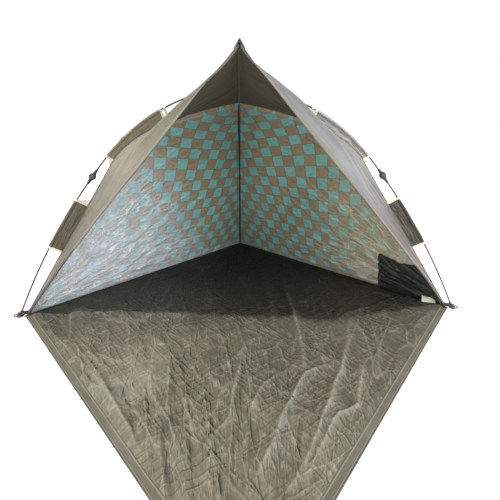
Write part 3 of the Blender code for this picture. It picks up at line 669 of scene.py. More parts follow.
def make_materials():
    left = checked(PAINTED_SHEEN_LEFT, PAINTED_SHEEN_WARM_LEFT, PAINTED_CREST_HIGHLIGHT_LEFT, PAINTED_VALLEY_SHADE_LEFT)
    right = checked(PAINTED_SHEEN_RIGHT, PAINTED_SHEEN_WARM_RIGHT, PAINTED_CREST_HIGHLIGHT_RIGHT, PAINTED_VALLEY_SHADE_RIGHT)
    return {
        "check_left": fabric("check_lining_left", left, 0.40, (0.022, 0.009), 0.0016, 0.45, folds=WALL_FOLDS),
        "check_right": fabric("check_lining_right", right, 0.42, (0.022, 0.009), 0.0016, 0.45, folds=WALL_FOLDS),
        "wall_outside": fabric("wall_outside", mottled((0.225, 0.217, 0.188)), 0.42, glow=0.45),
        "shell_left": fabric("shell_outside_left", shaded((0.196, 0.182, 0.136), 0.26),
                             0.42, (0.14, 0.009), 0.0020, 0.30),
        # painted reflection: the right panel is the same khaki cloth as the left, given a pale neutral grey for
        # the sky light it reflects
        "shell_right": fabric("shell_outside_right_painted_sky_sheen", shaded((0.192, 0.193, 0.190)),
                              0.48, (0.20, 0.014), 0.0014, 0.30),
        "shell_inside": fabric("shell_inside", mottled((0.066, 0.056, 0.036)),
                               0.55, (0.14, 0.010), 0.001, 0.10, 0.05, 0.2),
        "ground": fabric("ground_cloth", ground_colour_with_painted_light, 0.50, (0.05, 0.014), 0.0012, 0.0, 0.0, 0.25,
                         GROUND_FOLDS),
        "under": fabric("ground_cloth_underside", mottled((0.05, 0.048, 0.045)), 0.5, glow=0.0),
        # one khaki sleeve cloth in four tones: painted sky reflection makes the right upper sleeve grey, and
        # painted shade darkens the lower sleeves
        "sleeve_upper_left": sleeve_cloth("upper_left", (0.205, 0.178, 0.115)),
        "sleeve_upper_right": sleeve_cloth("upper_right", (0.290, 0.283, 0.262)),
        "sleeve_lower_left": sleeve_cloth("lower_left", (0.074, 0.063, 0.038)),
        "sleeve_lower_right": sleeve_cloth("lower_right", (0.040, 0.033, 0.021)),
        "hem": fabric("hem_cloth", mottled((0.185, 0.172, 0.140)), 0.5, (0.02, 0.006), 0.0004, 0.0),
        "tape": webbing("tape_black", (0.012, 0.011, 0.009)),
        "zip": webbing("zip_tape_khaki", (0.115, 0.103, 0.076)),
        "cream": webbing("webbing_cream", (0.74, 0.68, 0.54)),
        "webbing": webbing("webbing_black", (0.022, 0.021, 0.020)),
        "plastic": hard("plastic_black", (0.020, 0.019, 0.018), 0.38),
        "smoke": hard("plastic_smoke", (0.075, 0.073, 0.066), 0.35),
        "pole": hard("pole_fibreglass", (0.026, 0.022, 0.016), 0.45, 200.0),
        "mesh": mesh_material(),
        "tag": webbing("tag_face", (0.80, 0.74, 0.60), 0.0009),
        "piping": fabric("piping_cloth", mottled((0.10, 0.093, 0.075)), 0.5, (0.02, 0.006), 0.0003, 0.0),
        "coil": hard("zip_coil", (0.075, 0.068, 0.054), 0.40, 900.0, 0.00004),
        "flap_hem": fabric("flap_hem", hem_lines, 0.52, (0.03, 0.008), 0.0006, 0.0, 0.0, 0.22),
    }


def mesh_material():
    """Black netting that lets the wall behind it show faintly."""
    material, tree, shader = new_material("mesh_black")
    place = spread(tree, map_of(tree, "cloth"), (700.0, 700.0, 1.0))
    holes = scattered(tree, place).outputs["Distance"]
    threads = ramp(tree, holes, 0.25, 0.4, (0.55, 0.55, 0.55, 1))
    tree.links.new(threads, shader.inputs["Alpha"])
    tree.links.new(bump(tree, holes, 0.0003), shader.inputs["Normal"])
    folds = noise(tree, spread(tree, map_of(tree, "grain"), (4.0, 30.0, 1.0)), 1.0, 3.0)
    tone = ramp(tree, folds, 0.35, 0.7, (0.014, 0.015, 0.014, 1), (0.040, 0.044, 0.040, 1))
    behind = noise(tree, map_of(tree, "cloth"), 16.0, 2.0)
    tint = ramp(tree, behind, 0.40, 0.60, (0.62, 1.08, 1.12, 1), (1.30, 1.02, 0.62, 1))
    tree.links.new(mix(tree, 1.0, tone, tint, "MULTIPLY"), shader.inputs["Base Color"])
    shader.inputs["Roughness"].default_value = 0.55
    return material


def dress(item, slot, *replaced):
    """Fixes a piece to the tent, and hides the nodes it replaces."""
    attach(item, "tent")
    if replaced:
        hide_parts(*replaced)
    return item


def dress_flap(item, slot, *replaced):
    """Bakes a piece's place into its mesh, and hides the nodes it replaces."""
    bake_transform(item)
    if replaced:
        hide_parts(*replaced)


# Rear walls

# column and row of the print: at the start, along the wall, up it, both, bent near the top, bent along
PRINT_HEIGHT = 0.6
PRINT_COLUMN = {-1.0: (2.30, -14.30, 1.17, 6.76, -5.25, 0.05), 1.0: (2.00, -14.44, 0.27, 6.72, -1.48, 1.55)}
PRINT_ROW = {-1.0: (0.71, -1.46, -14.54, -2.21, -2.18, 0.94), 1.0: (1.03, -0.72, -14.54, -3.79, -3.12, -0.97)}


def check_map(sign, along, up):
    """Column and row of the printed squares at a place on a wall."""
    up = up - PRINT_HEIGHT
    terms = (np.ones_like(along), along, up, along * up, np.maximum(up, 0.0) ** 2, along ** 2)
    column = sum(share * term for share, term in zip(PRINT_COLUMN[sign], terms))
    row = sum(share * term for share, term in zip(PRINT_ROW[sign], terms))
    return np.stack([column + 65.5, row + 64.5], axis=-1)


def wall_painted_light(sign, along, up):
    """How strong the painted sheen over the print is at a place on a wall, and how much painted shade darkens
    it.
    """
    reach = along - WALL_CORNER
    if sign < 0:
        place = reach + 0.60 * np.maximum(up - 0.15, 0.0)
        fade = 0.84 * (1 - rise(place, 0.45, 1.25))
    else:
        place = reach + 0.35 * up
        fade = 0.70 * (1 - rise(place, 0.35, 1.00))
    foot = 1 - rise(up, 0.0, 0.07)
    # the painted sheen also runs along the wall's foot
    fade = np.maximum(fade, 0.55 * foot)
    # painted shade: darker towards the rear seam's lower part
    return np.stack([fade, 1.0 - 0.25 * rise(reach, 1.0, 1.5) * (1 - rise(up, 0.1, 0.6))], axis=-1)


WALL_FAN = 0.55              # width of the grain's fan for an angle round the front corner
WALL_FAN_START = 0.05


def wall_grain(reach, up):
    """Distance from the wall's front corner, and the angle round it as a width."""
    return np.hypot(reach, up) + WALL_FAN_START, np.arctan2(up, reach + WALL_FAN_START) * WALL_FAN


def wall_relief(sign, along, up):
    """How far the wall's cloth stands out from its plain surface."""
    seed = 100 if sign < 0 else 200
    reach = along - WALL_CORNER
    radius, fan = wall_grain(reach, up)
    restless = 1.0 - 0.75 * rise(up, 0.35, 0.95)
    outer = 1.0 - 0.45 * rise(reach, 0.5, 1.3)
    rough = restless * outer
    relief = 0.0120 * rough * crumple(radius, fan, 0.15, 0.042, seed)
    relief = relief + 0.0070 * rough * crumple(radius, fan, 0.075, 0.024, seed + 20)
    relief = relief + 0.010 * drift(reach * 2.2, up * 2.0, seed + 40)
    return relief - 0.010


def wall_place(sign, along, up, lift=0.0):
    out = np.interp(up, WALL_UP, WALL_OUT)
    height = np.interp(up, WALL_UP, HEIGHT)
    step = 0.004
    lean = np.interp(up + step, WALL_UP, WALL_OUT) - np.interp(up - step, WALL_UP, WALL_OUT)
    climb = np.interp(up + step, WALL_UP, HEIGHT) - np.interp(up - step, WALL_UP, HEIGHT)
    size = np.maximum(np.hypot(lean, climb), 1e-9)
    out = out + lift * climb / size
    height = height - lift * lean / size
    return np.stack([sign * (out - along) / sqrt(2), (out + along) / sqrt(2), height], axis=-1)


def wall_start(reach):
    """Where a wall starts at its side ridge, measured along it, for a reach of the ridge."""
    return (CROWN_BACK * (1 - reach / SPAN) - reach * FLOOR_HALF / SPAN) / sqrt(2)


def wall_calm(along, up):
    """1 on the open wall, 0 at its seams."""
    out = np.interp(up, WALL_UP, WALL_OUT)
    to_rear = out - along
    reach = np.interp(up, WALL_UP, REACH)
    start = wall_start(reach)
    to_side = along - start
    calm = rise(to_rear, 0.0, EDGE_CALM) * rise(to_side, 0.0, EDGE_CALM)
    return calm * rise(up, 0.0, EDGE_CALM) * rise(WALL_UP[-1] - up, 0.0, EDGE_CALM)


def wall_skin(sign, along, up, lift=0.0):
    """A place on the creased wall; lift is outwards."""
    relief = wall_relief(sign, along, up) * wall_calm(along, up)
    return wall_place(sign, along, up, relief + lift)


def rear_wall(side, materials):
    sign = SIDES[side]
    rows, columns = 176, 180
    up = np.linspace(0.0015, WALL_UP[-1] - 0.006, rows)[:, None] * np.ones((1, columns))
    reach = np.interp(up, WALL_UP, REACH)
    out = np.interp(up, WALL_UP, WALL_OUT)
    start = wall_start(reach)
    t = np.linspace(0, 1, columns)[None, :]
    along = start + (out - start) * t
    points = wall_skin(sign, along, up)
    maps = {
        "cloth": np.stack([along, up], axis=-1),
        "grain": np.stack(wall_grain(along - WALL_CORNER, up), axis=-1),
        "check": check_map(sign, along, up),
        "tone": wall_painted_light(sign, along, up),
    }
    if sign > 0:
        points = points[:, ::-1]
        maps = {key: value[:, ::-1] for key, value in maps.items()}
    item = cloth("wall_cloth_" + side, points, maps, materials["check_" + side], materials["wall_outside"])
    declare(item, points, "stretched", "upper_pole_" + side, "floor_cloth")
    return dress(item, "wall_cloth", "rear_wall_" + side)


# Front panels

def panel_relief(sign, along, across):
    """How far a front panel's cloth stands out from its plain surface."""
    seed = 300 if sign < 0 else 400
    relief = 0.006 * crumple(along, across, 0.45, 0.035, seed)
    relief = relief + 0.0025 * crumple(along, across, 0.18, 0.016, seed + 20)
    return relief + 0.006 * drift(along * 2.5, across * 5.0, seed + 40)


# painted shade: how much darker a panel's foot is in red and in the other two, and the shares where that ends
# and starts
PANEL_SHADE = {-1.0: (0.42, 0.44, 0.26, 0.60), 1.0: (0.46, 0.60, 0.28, 0.56)}
PANEL_TOP_SHADE = {-1.0: 0.42, 1.0: 0.30}     # the rolled cloth below the visor's tip is darker too


def front_panel(side, materials):
    sign = SIDES[side]
    rows, columns = 240, 70
    share = np.linspace(0.004, 0.9985, rows)[:, None] * np.ones((1, columns))
    t = np.linspace(0, 1, columns)[None, :] * np.ones((rows, 1))
    width = np.linalg.norm(side_ridge(sign, share) - opening_edge(sign, share), axis=-1)
    along = share * OPENING_LENGTH
    across = t ** 1.25 * width
    points = panel_place(sign, share, across)
    calm = rise(across, 0.0, OPENING_CALM) * rise(width - across, 0.0, EDGE_CALM)
    calm = calm * rise(share, 0.0, 0.05) * rise(1 - share, 0.0, 0.03)
    normals = surface_normals(points) * -sign
    relief = panel_relief(sign, along, across) * calm
    points = points + normals * relief[..., None]
    # painted shade: darker towards the panel's foot and on the roll below the visor's tip, carried in the tone
    # map
    painted_shade = PANEL_SHADE[sign]
    foot_painted_shade = 1 - rise(share, painted_shade[2], painted_shade[3])
    top_painted_shade = 1 - PANEL_TOP_SHADE[sign] * rise(share, 0.62, 0.85)
    maps = {
        "cloth": np.stack([along, across], axis=-1),
        "grain": np.stack([along, across], axis=-1),
        "tone": np.stack([1 - painted_shade[1] * foot_painted_shade, 1 - painted_shade[0] * foot_painted_shade], axis=-1) * top_painted_shade[..., None],
    }
    if sign < 0:
        points = points[:, ::-1]
        maps = {key: value[:, ::-1] for key, value in maps.items()}
    item = cloth("panel_cloth_" + side, points, maps, materials["shell_" + side], materials["shell_inside"])
    declare(item, points, "stretched", "lower_pole_" + side, "upper_pole_" + side)
    return dress(item, "shell_cloth", "front_panel_" + side)


# Floor and flap

FLAP_LENGTH = hypot(PEAK_FORWARD + FOLD_Y, PEAK_HEIGHT - FOLD_Z)
GROUND_LEVEL = CLOTH / 2 + 0.0004
GROUND_CALM = (0.004, 0.05)       # folds rise between these distances from the edge
# lines of the main folds with their height and width
GROUND_CREASES = (
    # through the floor to the flap
    (((0.24, 0.41), (0.25, 0.20), (0.25, -0.19), (0.22, -0.52)), 0.016, 0.030),
    (((0.13, 0.43), (0.15, 0.11), (0.14, -0.17)), 0.010, 0.034),
    # right half of the flap
    (((0.52, -0.11), (0.44, -0.32), (0.29, -0.62), (0.11, -0.90)), 0.016, 0.034),
    (((0.48, -0.42), (0.37, -0.64), (0.27, -0.71), (0.15, -0.87)), 0.015, 0.026),
    (((0.36, -0.40), (0.22, -0.51), (0.15, -0.63), (0.02, -0.88)), 0.015, 0.030),
    (((0.75, 0.04), (0.52, -0.07), (0.41, -0.18)), 0.008, 0.018),
    (((1.04, -0.01), (0.84, -0.15), (0.68, -0.29)), 0.009, 0.020),
    (((0.44, -0.53), (0.41, -0.62)), 0.008, 0.014),
    (((0.60, -0.16), (0.56, -0.36), (0.50, -0.50)), 0.009, 0.020),
    (((0.20, -0.18), (0.03, -0.28), (-0.07, -0.43)), 0.008, 0.018),
    (((0.22, -0.42), (0.07, -0.54), (-0.01, -0.70)), 0.010, 0.020),
    # left half of the flap
    (((-0.84, -0.18), (-0.63, -0.39), (-0.41, -0.62), (-0.29, -0.78)), 0.011, 0.020),
    (((-0.71, -0.26), (-0.57, -0.43), (-0.40, -0.63)), 0.010, 0.018),
    (((-0.36, -0.42), (-0.32, -0.56), (-0.25, -0.66), (-0.16, -0.81)), 0.012, 0.016),
    (((-0.37, -0.61), (-0.28, -0.73), (-0.22, -0.81)), 0.009, 0.016),
    (((-0.23, -0.50), (-0.18, -0.65), (-0.13, -0.77)), 0.009, 0.016),
    (((-0.45, -0.18), (-0.35, -0.29), (-0.27, -0.38)), 0.008, 0.016),
    (((-0.36, -0.42), (-0.26, -0.46)), 0.008, 0.012),
    (((-0.16, -0.17), (-0.24, -0.24)), 0.006, 0.012),
    (((-0.02, -0.45), (-0.05, -0.68), (-0.13, -0.80)), 0.010, 0.018),
    (((-0.74, -0.18), (-0.55, -0.41), (-0.47, -0.45)), 0.008, 0.016),
)


def ground_grain(x, y):
    """Distance from the flap's tip, and the angle round it as a width."""
    back = y + FLAP_LENGTH + 0.25
    return np.hypot(x, back), np.arctan2(x, back) * 0.80


def ground_relief(x, y):
    """Height of the ground cloth's folds above its lowest level."""
    radius, fan = ground_grain(x, y)
    flap = rise(-y, -0.30, 0.20)
    edge = rise(np.abs(x) / np.maximum(FLOOR_HALF + np.minimum(y, 0.0), 0.1), 0.45, 0.85)
    rough = 0.22 + 0.78 * flap
    long_facets = crumple(radius, fan, 0.34, 0.055, 500)
    short_facets = crumple(x * 0.8 + y * 0.6, y * 0.8 - x * 0.6, 0.150, 0.060, 510)
    relief = 0.025 * rough * (0.45 + long_facets * (0.45 + 0.55 * edge) + short_facets * 0.28 * (1 - edge))
    relief = relief + 0.0065 * rough * (0.5 + crumple(radius, fan, 0.28, 0.048, 520))
    slanted = crumple(y * 0.7 + x * 0.7, x * 0.7 - y * 0.7, 0.13, 0.022, 530)
    relief = relief + 0.0030 * rough * (1 - edge) * (0.5 + slanted)
    relief = relief + 0.005 * (0.5 + 0.5 * drift(x * 3.0, y * 3.0, 540))
    for line, height, width in GROUND_CREASES:
        relief = relief + crease(x, y, line, height * 1.40, width * 0.66)
    return np.maximum(relief, 0.0)


def ground_painted_light(x, y):
    """Painted highlights on the creases' crests, and how pale the cloth is painted for the light and shade on
    it.
    """
    crest_highlights = np.zeros(np.shape(x))
    for line, height, width in GROUND_CREASES:
        crest_highlights = np.maximum(crest_highlights, crease(x, y, line, height * 48, width * 0.30))
    # painted light: paler towards the left and towards the flap's tip
    painted_light = 0.52 + 0.50 * rise(-x, -0.15, 0.50) + 0.58 * rise(-y, 0.45, 0.95)
    crest_highlights = np.clip(crest_highlights, 0.0, 0.8) * (0.45 + 0.55 * rise(-y, 0.30, 0.55))
    # a painted highlight: a pale patch with bright crests left of the flap's middle
    spot = np.exp(-(((x + 0.425) / 0.10) ** 2 + ((y + 0.475) / 0.12) ** 2))
    crest_highlights = crest_highlights + 0.62 * spot * (0.5 + 0.5 * drift(x * 26, y * 26, 556))
    painted_light = painted_light + 0.5 * spot
    # painted shadow of the visor just in front of the opening
    near = rise(-y - 0.14 * rise(-x, -0.5, 0.5), -0.03, 0.17)
    painted_light = painted_light * (0.62 + 0.08 * rise(x, 0.1, 0.8) + (0.38 - 0.08 * rise(x, 0.1, 0.8)) * near)
    # painted shade: darkest inside the tent, towards the rear
    painted_light = painted_light * rise(-y, -0.55, 0.28) + 0.10 * drift(x * 2.2, y * 2.2, 555) * rise(-y, -0.3, 0.2)
    out = rise(-y, -0.30, 0.15)
    return np.stack([np.clip(crest_highlights, 0.0, 0.8) * (0.15 + 0.85 * out), np.clip(painted_light, 0.0, PALEST)], axis=-1)


def ground_sheet(name, x, y, calm, materials):
    z = GROUND_LEVEL + ground_relief(x, y) * calm
    points = np.stack([x, y, z], axis=-1)
    maps = {
        "cloth": np.stack([x, y], axis=-1),
        "grain": np.stack(ground_grain(x, y), axis=-1),
        "tone": ground_painted_light(x, y),
    }
    item = cloth(name, points, maps, materials["ground"], materials["under"])
    declare(item, points, "laid", tapers=True)
    return item


def floor_cloth(materials):
    rows, columns = 100, 180
    y = np.linspace(JOIN_Y, FLOOR_HALF + FLOOR_MARGIN - 0.004, rows)[:, None] * np.ones((1, columns))
    half = FLOOR_HALF + FLOOR_MARGIN - y
    s = np.linspace(-1, 1, columns)[None, :]
    x = half * s
    to_wall = (half - np.abs(x)) / sqrt(2)
    calm = rise(to_wall, *GROUND_CALM)
    dress(ground_sheet("floor_cloth", x, y, calm, materials), "floor_cloth", "floor_sheet")


def flap_half(distance):
    """Half the flap's width at a distance from the fold, with a rounded tip."""
    slant = hypot(1 / FLOOR_HALF, 1 / FLAP_LENGTH)
    tip = FLAP_LENGTH * (1 - FLAP_EDGE_GAP * slant)
    spread_angle = atan2(FLOOR_HALF, FLAP_LENGTH)
    centre = tip - FLAP_TIP_RADIUS / sin(spread_angle)
    touch = centre + FLAP_TIP_RADIUS * sin(spread_angle)
    straight = (tip - distance) * FLOOR_HALF / FLAP_LENGTH
    rounded = np.sqrt(np.maximum(FLAP_TIP_RADIUS ** 2 - (distance - centre) ** 2, 0.0))
    return np.where(distance < touch, straight, rounded), centre + FLAP_TIP_RADIUS


def flap_cloth(materials):
    rows, columns = 222, 214
    end = flap_half(np.zeros(1))[1]
    start = FOLD_Y - JOIN_Y
    t = np.linspace(0, 1, rows)
    distance = start + (end - 0.0006 - start) * (1 - (1 - t) ** 1.15)
    y = (FOLD_Y - distance)[:, None] * np.ones((1, columns))
    half = np.where(distance < 0, FLOOR_HALF + FLOOR_MARGIN - (FOLD_Y - distance), flap_half(distance)[0])
    joined = rise(distance, start, 0.02)
    half = (FLOOR_HALF + FLOOR_MARGIN - JOIN_Y) * (1 - joined) + half * joined
    s = np.linspace(-1, 1, columns)[None, :]
    x = half[:, None] * s
    to_edge = (half[:, None] - np.abs(x)) / sqrt(2)
    calm = rise(to_edge, *GROUND_CALM)
    item = ground_sheet("flap_cloth", x[::-1], y[::-1], calm[::-1], materials)
    dress_flap(item, "flap_cloth", "front_flap", "fold_seam")


# Closed tubes, turned pieces and their frames

def solid(name, points, faces, material, corners=None, sharp=38.0):
    """A closed mesh with its faces turned outwards. corners holds a map place for each face corner."""
    mesh = bpy.data.meshes.new(name)
    mesh.from_pydata(np.asarray(points).reshape(-1, 3).tolist(), [], [list(face) for face in faces])
    mesh.materials.append(material)
    for map_name in ("cloth", "grain") if corners is not None else ():
        layer = mesh.uv_layers.new(name=map_name)
        layer.data.foreach_set("uv", np.asarray(corners, dtype=np.float32).ravel())
    shape = bmesh.new()
    shape.from_mesh(mesh)
    bmesh.ops.recalc_face_normals(shape, faces=shape.faces)
    shape.to_mesh(mesh)
    shape.free()
    mesh.shade_smooth()
    mesh.set_sharp_from_angle(angle=radians(sharp))
    return new_object(name, mesh)


def tube_faces(count, around):
    """Quads between rings of points, and a flat face at each end."""
    faces = []
    last = (count - 1) * around
    for low in range(0, last, around):
        for index in range(around):
            after = (index + 1) % around
            faces.append((low + index, low + around + index, low + around + after, low + after))
    return faces + [tuple(range(around)), tuple(range(last, last + around))]


def closed_tube(name, rings, material, sharp=38.0):
    """A tube through rings of points, with flat ends."""
    count, around = rings.shape[:2]
    steps = np.linalg.norm(np.diff(rings.mean(axis=1), axis=0), axis=-1)
    along = np.concatenate([[0.0], np.cumsum(steps)])
    chords = np.linalg.norm(np.roll(rings, -1, axis=1) - rings, axis=-1).mean(axis=0)
    girth = np.concatenate([[0.0], np.cumsum(chords)])
    corners = []
    for start, end in zip(along[:-1], along[1:]):
        for near, far in zip(girth[:-1], girth[1:]):
            corners += [(start, near), (end, near), (end, far), (start, far)]
    for end in (0.0, along[-1]):
        corners += [(end, value) for value in girth[:-1]]
    return solid(name, rings, tube_faces(count, around), material, corners, sharp)


def oval(width, height, sides=14, power=2.0):
    """A round outline; a higher power makes it a rounded box."""
    angle = np.linspace(0, 2 * pi, sides, endpoint=False) + pi / sides
    across = np.sign(np.cos(angle)) * np.abs(np.cos(angle)) ** (2 / power) * width / 2
    up = np.sign(np.sin(angle)) * np.abs(np.sin(angle)) ** (2 / power) * height / 2
    return np.stack([across, up], axis=-1)


def rings_along(path, outline, hint):
    """Rings of one outline, or of one for each point, along a path. hint is near the outline's second axis."""
    path = np.asarray(path, dtype=float)
    tangent = unit(np.gradient(path, axis=0))
    side = unit(np.cross(tangent, np.broadcast_to(hint, path.shape)))
    up = np.cross(side, tangent)
    outline = np.broadcast_to(outline, (len(path),) + np.shape(outline)[-2:])
    return path[:, None] + outline[..., :1] * side[:, None] + outline[..., 1:] * up[:, None]


def sweep(name, path, outline, hint, material, sharp=38.0):
    return closed_tube(name, rings_along(path, outline, hint), material, sharp)


def turned(name, profile, place, axis, material, sides=40, ribs=None, squash=1.0, hint=(0.0, 0.0, 1.0)):
    """A turned piece. ribs is (how many, depth, from height, to height); squash flattens it along hint."""
    axis = unit(np.asarray(axis, dtype=float))
    side = np.cross(axis, hint)
    if np.linalg.norm(side) < 0.1:
        side = np.cross(axis, (1.0, 0.0, 0.0))
    side = unit(side)
    up = np.cross(side, axis)
    angle = np.linspace(0, 2 * pi, sides, endpoint=False)
    rings = []
    for radius, height in profile:
        reach = np.full(sides, max(radius, 0.0002))
        if ribs and ribs[2] <= height <= ribs[3]:
            reach = reach - ribs[1] * (np.cos(angle * ribs[0]) > 0)
        ring = side * (np.cos(angle) * reach)[:, None] + up * (np.sin(angle) * reach * squash)[:, None]
        rings.append(np.asarray(place) + axis * height + ring)
    return solid(name, np.array(rings), tube_faces(len(rings), sides), material)


# Curves of a leg, as points (out, up) in the upright plane through the crown

def leg_place(points, angle):
    points = np.asarray(points, dtype=float)
    out = points[..., 0]
    return np.stack([out * cos(angle), CROWN_BACK + out * sin(angle), points[..., 1]], axis=-1)


def leg_way(vector, angle):
    return np.array([vector[0] * cos(angle), vector[0] * sin(angle), vector[1]])


def leg_across(angle):
    """Way square to a leg's upright plane."""
    return np.array([-sin(angle), cos(angle), 0.0])


def quadratic(start, pull, end, steps=60):
    t = np.linspace(0, 1, steps + 1)[:, None]
    return (1 - t) ** 2 * start + 2 * t * (1 - t) * pull + t * t * end


def elbow_place(stretch):
    """Middle and upward direction of a leg's elbow."""
    corner = np.array([SPAN * stretch, 0.0])
    shoulder = np.array([SHOULDER_OUT * stretch, SHOULDER_HEIGHT])
    along = unit(shoulder - corner)
    outward = np.array([along[1], -along[0]])
    share = ELBOW_DISTANCE / hypot(SPAN - SHOULDER_OUT, SHOULDER_HEIGHT)
    middle = corner + (shoulder - corner) * share + outward * ELBOW_STANDOFF
    lean = np.array([[cos(ELBOW_LEAN), -sin(ELBOW_LEAN)], [sin(ELBOW_LEAN), cos(ELBOW_LEAN)]])
    return middle, lean @ along


def lower_pole(stretch):
    middle, along = elbow_place(stretch)
    foot = np.array([SPAN * stretch + FOOT_OUT, POLE_LIFT])
    mouth = middle - along * (ELBOW_LENGTH / 2)
    pull = mouth - along * (np.linalg.norm(mouth - foot) / 2)
    return quadratic(foot, pull, mouth)


def upper_pole(stretch):
    middle, along = elbow_place(stretch)
    mouth = middle + along * (ELBOW_LENGTH / 2)
    rim = np.array([HUB_RADIUS, HUB_HEIGHT - HUB_SLOPE * HUB_RADIUS])
    reach = (rim[1] - HUB_SLOPE * (mouth[0] - rim[0]) - mouth[1]) / (along[1] + HUB_SLOPE * along[0])
    return quadratic(mouth, mouth + along * reach, rim)


def lengths_of(path):
    return np.concatenate([[0.0], np.cumsum(np.linalg.norm(np.diff(path, axis=0), axis=-1))])


def at_lengths(path, lengths):
    known = lengths_of(path)
    return np.stack([np.interp(lengths, known, path[:, axis]) for axis in range(path.shape[1])], axis=-1)


def nearest(path, points):
    """The place on a path nearest to each point."""
    starts, runs = path[:-1], np.diff(path, axis=0)
    share = ((points[:, None] - starts) * runs).sum(axis=-1) / (runs ** 2).sum(axis=-1)
    places = starts + runs * np.clip(share, 0.0, 1.0)[..., None]
    gap = ((places - points[:, None]) ** 2).sum(axis=-1)
    return places[np.arange(len(points)), gap.argmin(axis=1)]


# Sleeves

TUBE_RADIUS = 0.0060
FIN_HALF = 0.0010
STITCH_OUT = 0.0125          # stitch row that closes the tube, from the pole's middle


def sleeve_skin(path, ridge_path, lengths, angle, seed, lift=0.0, wrinkle=1.0):
    """Points of a sleeve's cloth: up one side of the fin, round the pole and back down."""
    middle = at_lengths(path, lengths)
    base = nearest(ridge_path, middle)
    inward = unit(base - middle)
    fin = np.linalg.norm(base - middle, axis=-1)
    fin_steps = np.linspace(0.0, 1.0, 11)
    turn = np.linspace(radians(28), radians(332), 19)
    half = len(fin_steps)
    rows = []
    maps = []
    across = leg_across(angle)
    for index, length in enumerate(lengths):
        far = fin[index] - 0.0012
        q_fin = far + (STITCH_OUT - far) * fin_steps
        hang = np.sin(pi * np.clip((far - q_fin) / max(far - STITCH_OUT, 1e-6), 0, 1))
        fold = 0.0055 * crumple(np.full(half, length), q_fin, 0.030, 0.060, seed) * hang * wrinkle
        fold = fold + 0.0035 * drift(np.full(half, length * 14), q_fin * 20, seed + 7) * hang * wrinkle
        puff = 1.0 + 0.14 * drift(np.full(len(turn), length * 26.0), turn * 1.2, seed + 11)
        q_tube = np.cos(turn) * TUBE_RADIUS * puff
        w_tube = np.sin(turn) * TUBE_RADIUS * puff
        thick = FIN_HALF + lift
        q = np.concatenate([q_fin, q_tube + np.sign(q_tube) * lift, q_fin[::-1]])
        w = np.concatenate([fold + thick, w_tube + np.sign(w_tube) * lift, fold[::-1] - thick])
        place = leg_place(middle[index] + inward[index] * q[:, None], angle) + across * w[:, None]
        rows.append(place)
        maps.append(np.stack([np.full(len(q), length), q], axis=-1))
    return np.array(rows), np.array(maps)


def sleeve(side, part, path, start, length, materials):
    angle, stretch = LEGS[side]
    ridge_path = np.stack([REACH * stretch, HEIGHT], axis=-1)
    seed = 600 + 40 * list(LEGS).index(side) + (20 if part == "upper" else 0)
    label = part + "_sleeve_" + side
    lengths = np.linspace(start, start + length, 66)
    points, maps = sleeve_skin(path, ridge_path, lengths, angle, seed)
    face = materials["sleeve_" + part + ("_right" if side == "right" else "_left")]
    item = trim_cloth(label + "_cloth", points, maps, face, 0.0007)
    dress(item, "sleeve_cloth", label)
    declare(item, points, "stretched", label.replace("sleeve", "pole"))
    end = start + length
    bands = [
        (label + "_end_low", start - 0.0015, start + 0.0085, 0.0010, 1.0, item.name),
        (label + "_end_high", end - 0.0085, end + 0.0015, 0.0010, 1.0, item.name),
    ]
    if part == "upper" and side != "rear":
        bands.append(("pole_loop_" + side, end + 0.013, end + 0.024, 0.0004, 0.4, "upper_pole_" + side))
    for name, first, last, lift, wrinkle, carrier in bands:
        points, maps = sleeve_skin(path, ridge_path, np.linspace(first, last, 7), angle, seed, lift, wrinkle)
        band = trim_cloth(name, points, maps, materials["cream"])
        dress(band, "sleeve_cloth")
        declare(band, points, "stretched", carrier)
    lower_part = part == "lower"
    gusset(side, part, path, ridge_path, end if lower_part else start, 1 if lower_part else -1, materials)


def gusset(side, part, path, ridge_path, length, way, materials):
    """Triangle of cream cloth that carries a sleeve's end on towards the elbow."""
    angle = LEGS[side][0]
    ends = at_lengths(path, np.array([length, length + way * 0.034]))
    base = nearest(ridge_path, ends)
    tip = ends[0] + unit(base[0] - ends[0]) * TUBE_RADIUS
    v = np.linspace(0, 1, 10)[None, :, None]
    u = np.linspace(0.03, 0.985, 16)[:, None, None]
    far = base[0] + (base[1] - base[0]) * v
    flat = tip + (far - tip) * u
    points = leg_place(flat, angle)
    across = leg_across(angle)
    wave = 0.0018 * drift(flat[..., 0] * 40, flat[..., 1] * 40, 77) * np.sin(pi * u[..., 0])
    points = points + across * wave[..., None]
    item = trim_cloth("gusset_" + part + "_" + side, points, flat, materials["cream"], 0.0009)
    dress(item, "sleeve_cloth")
    declare(item, points, "stretched", part + "_sleeve_" + side + "_cloth")


# Elbows and feet

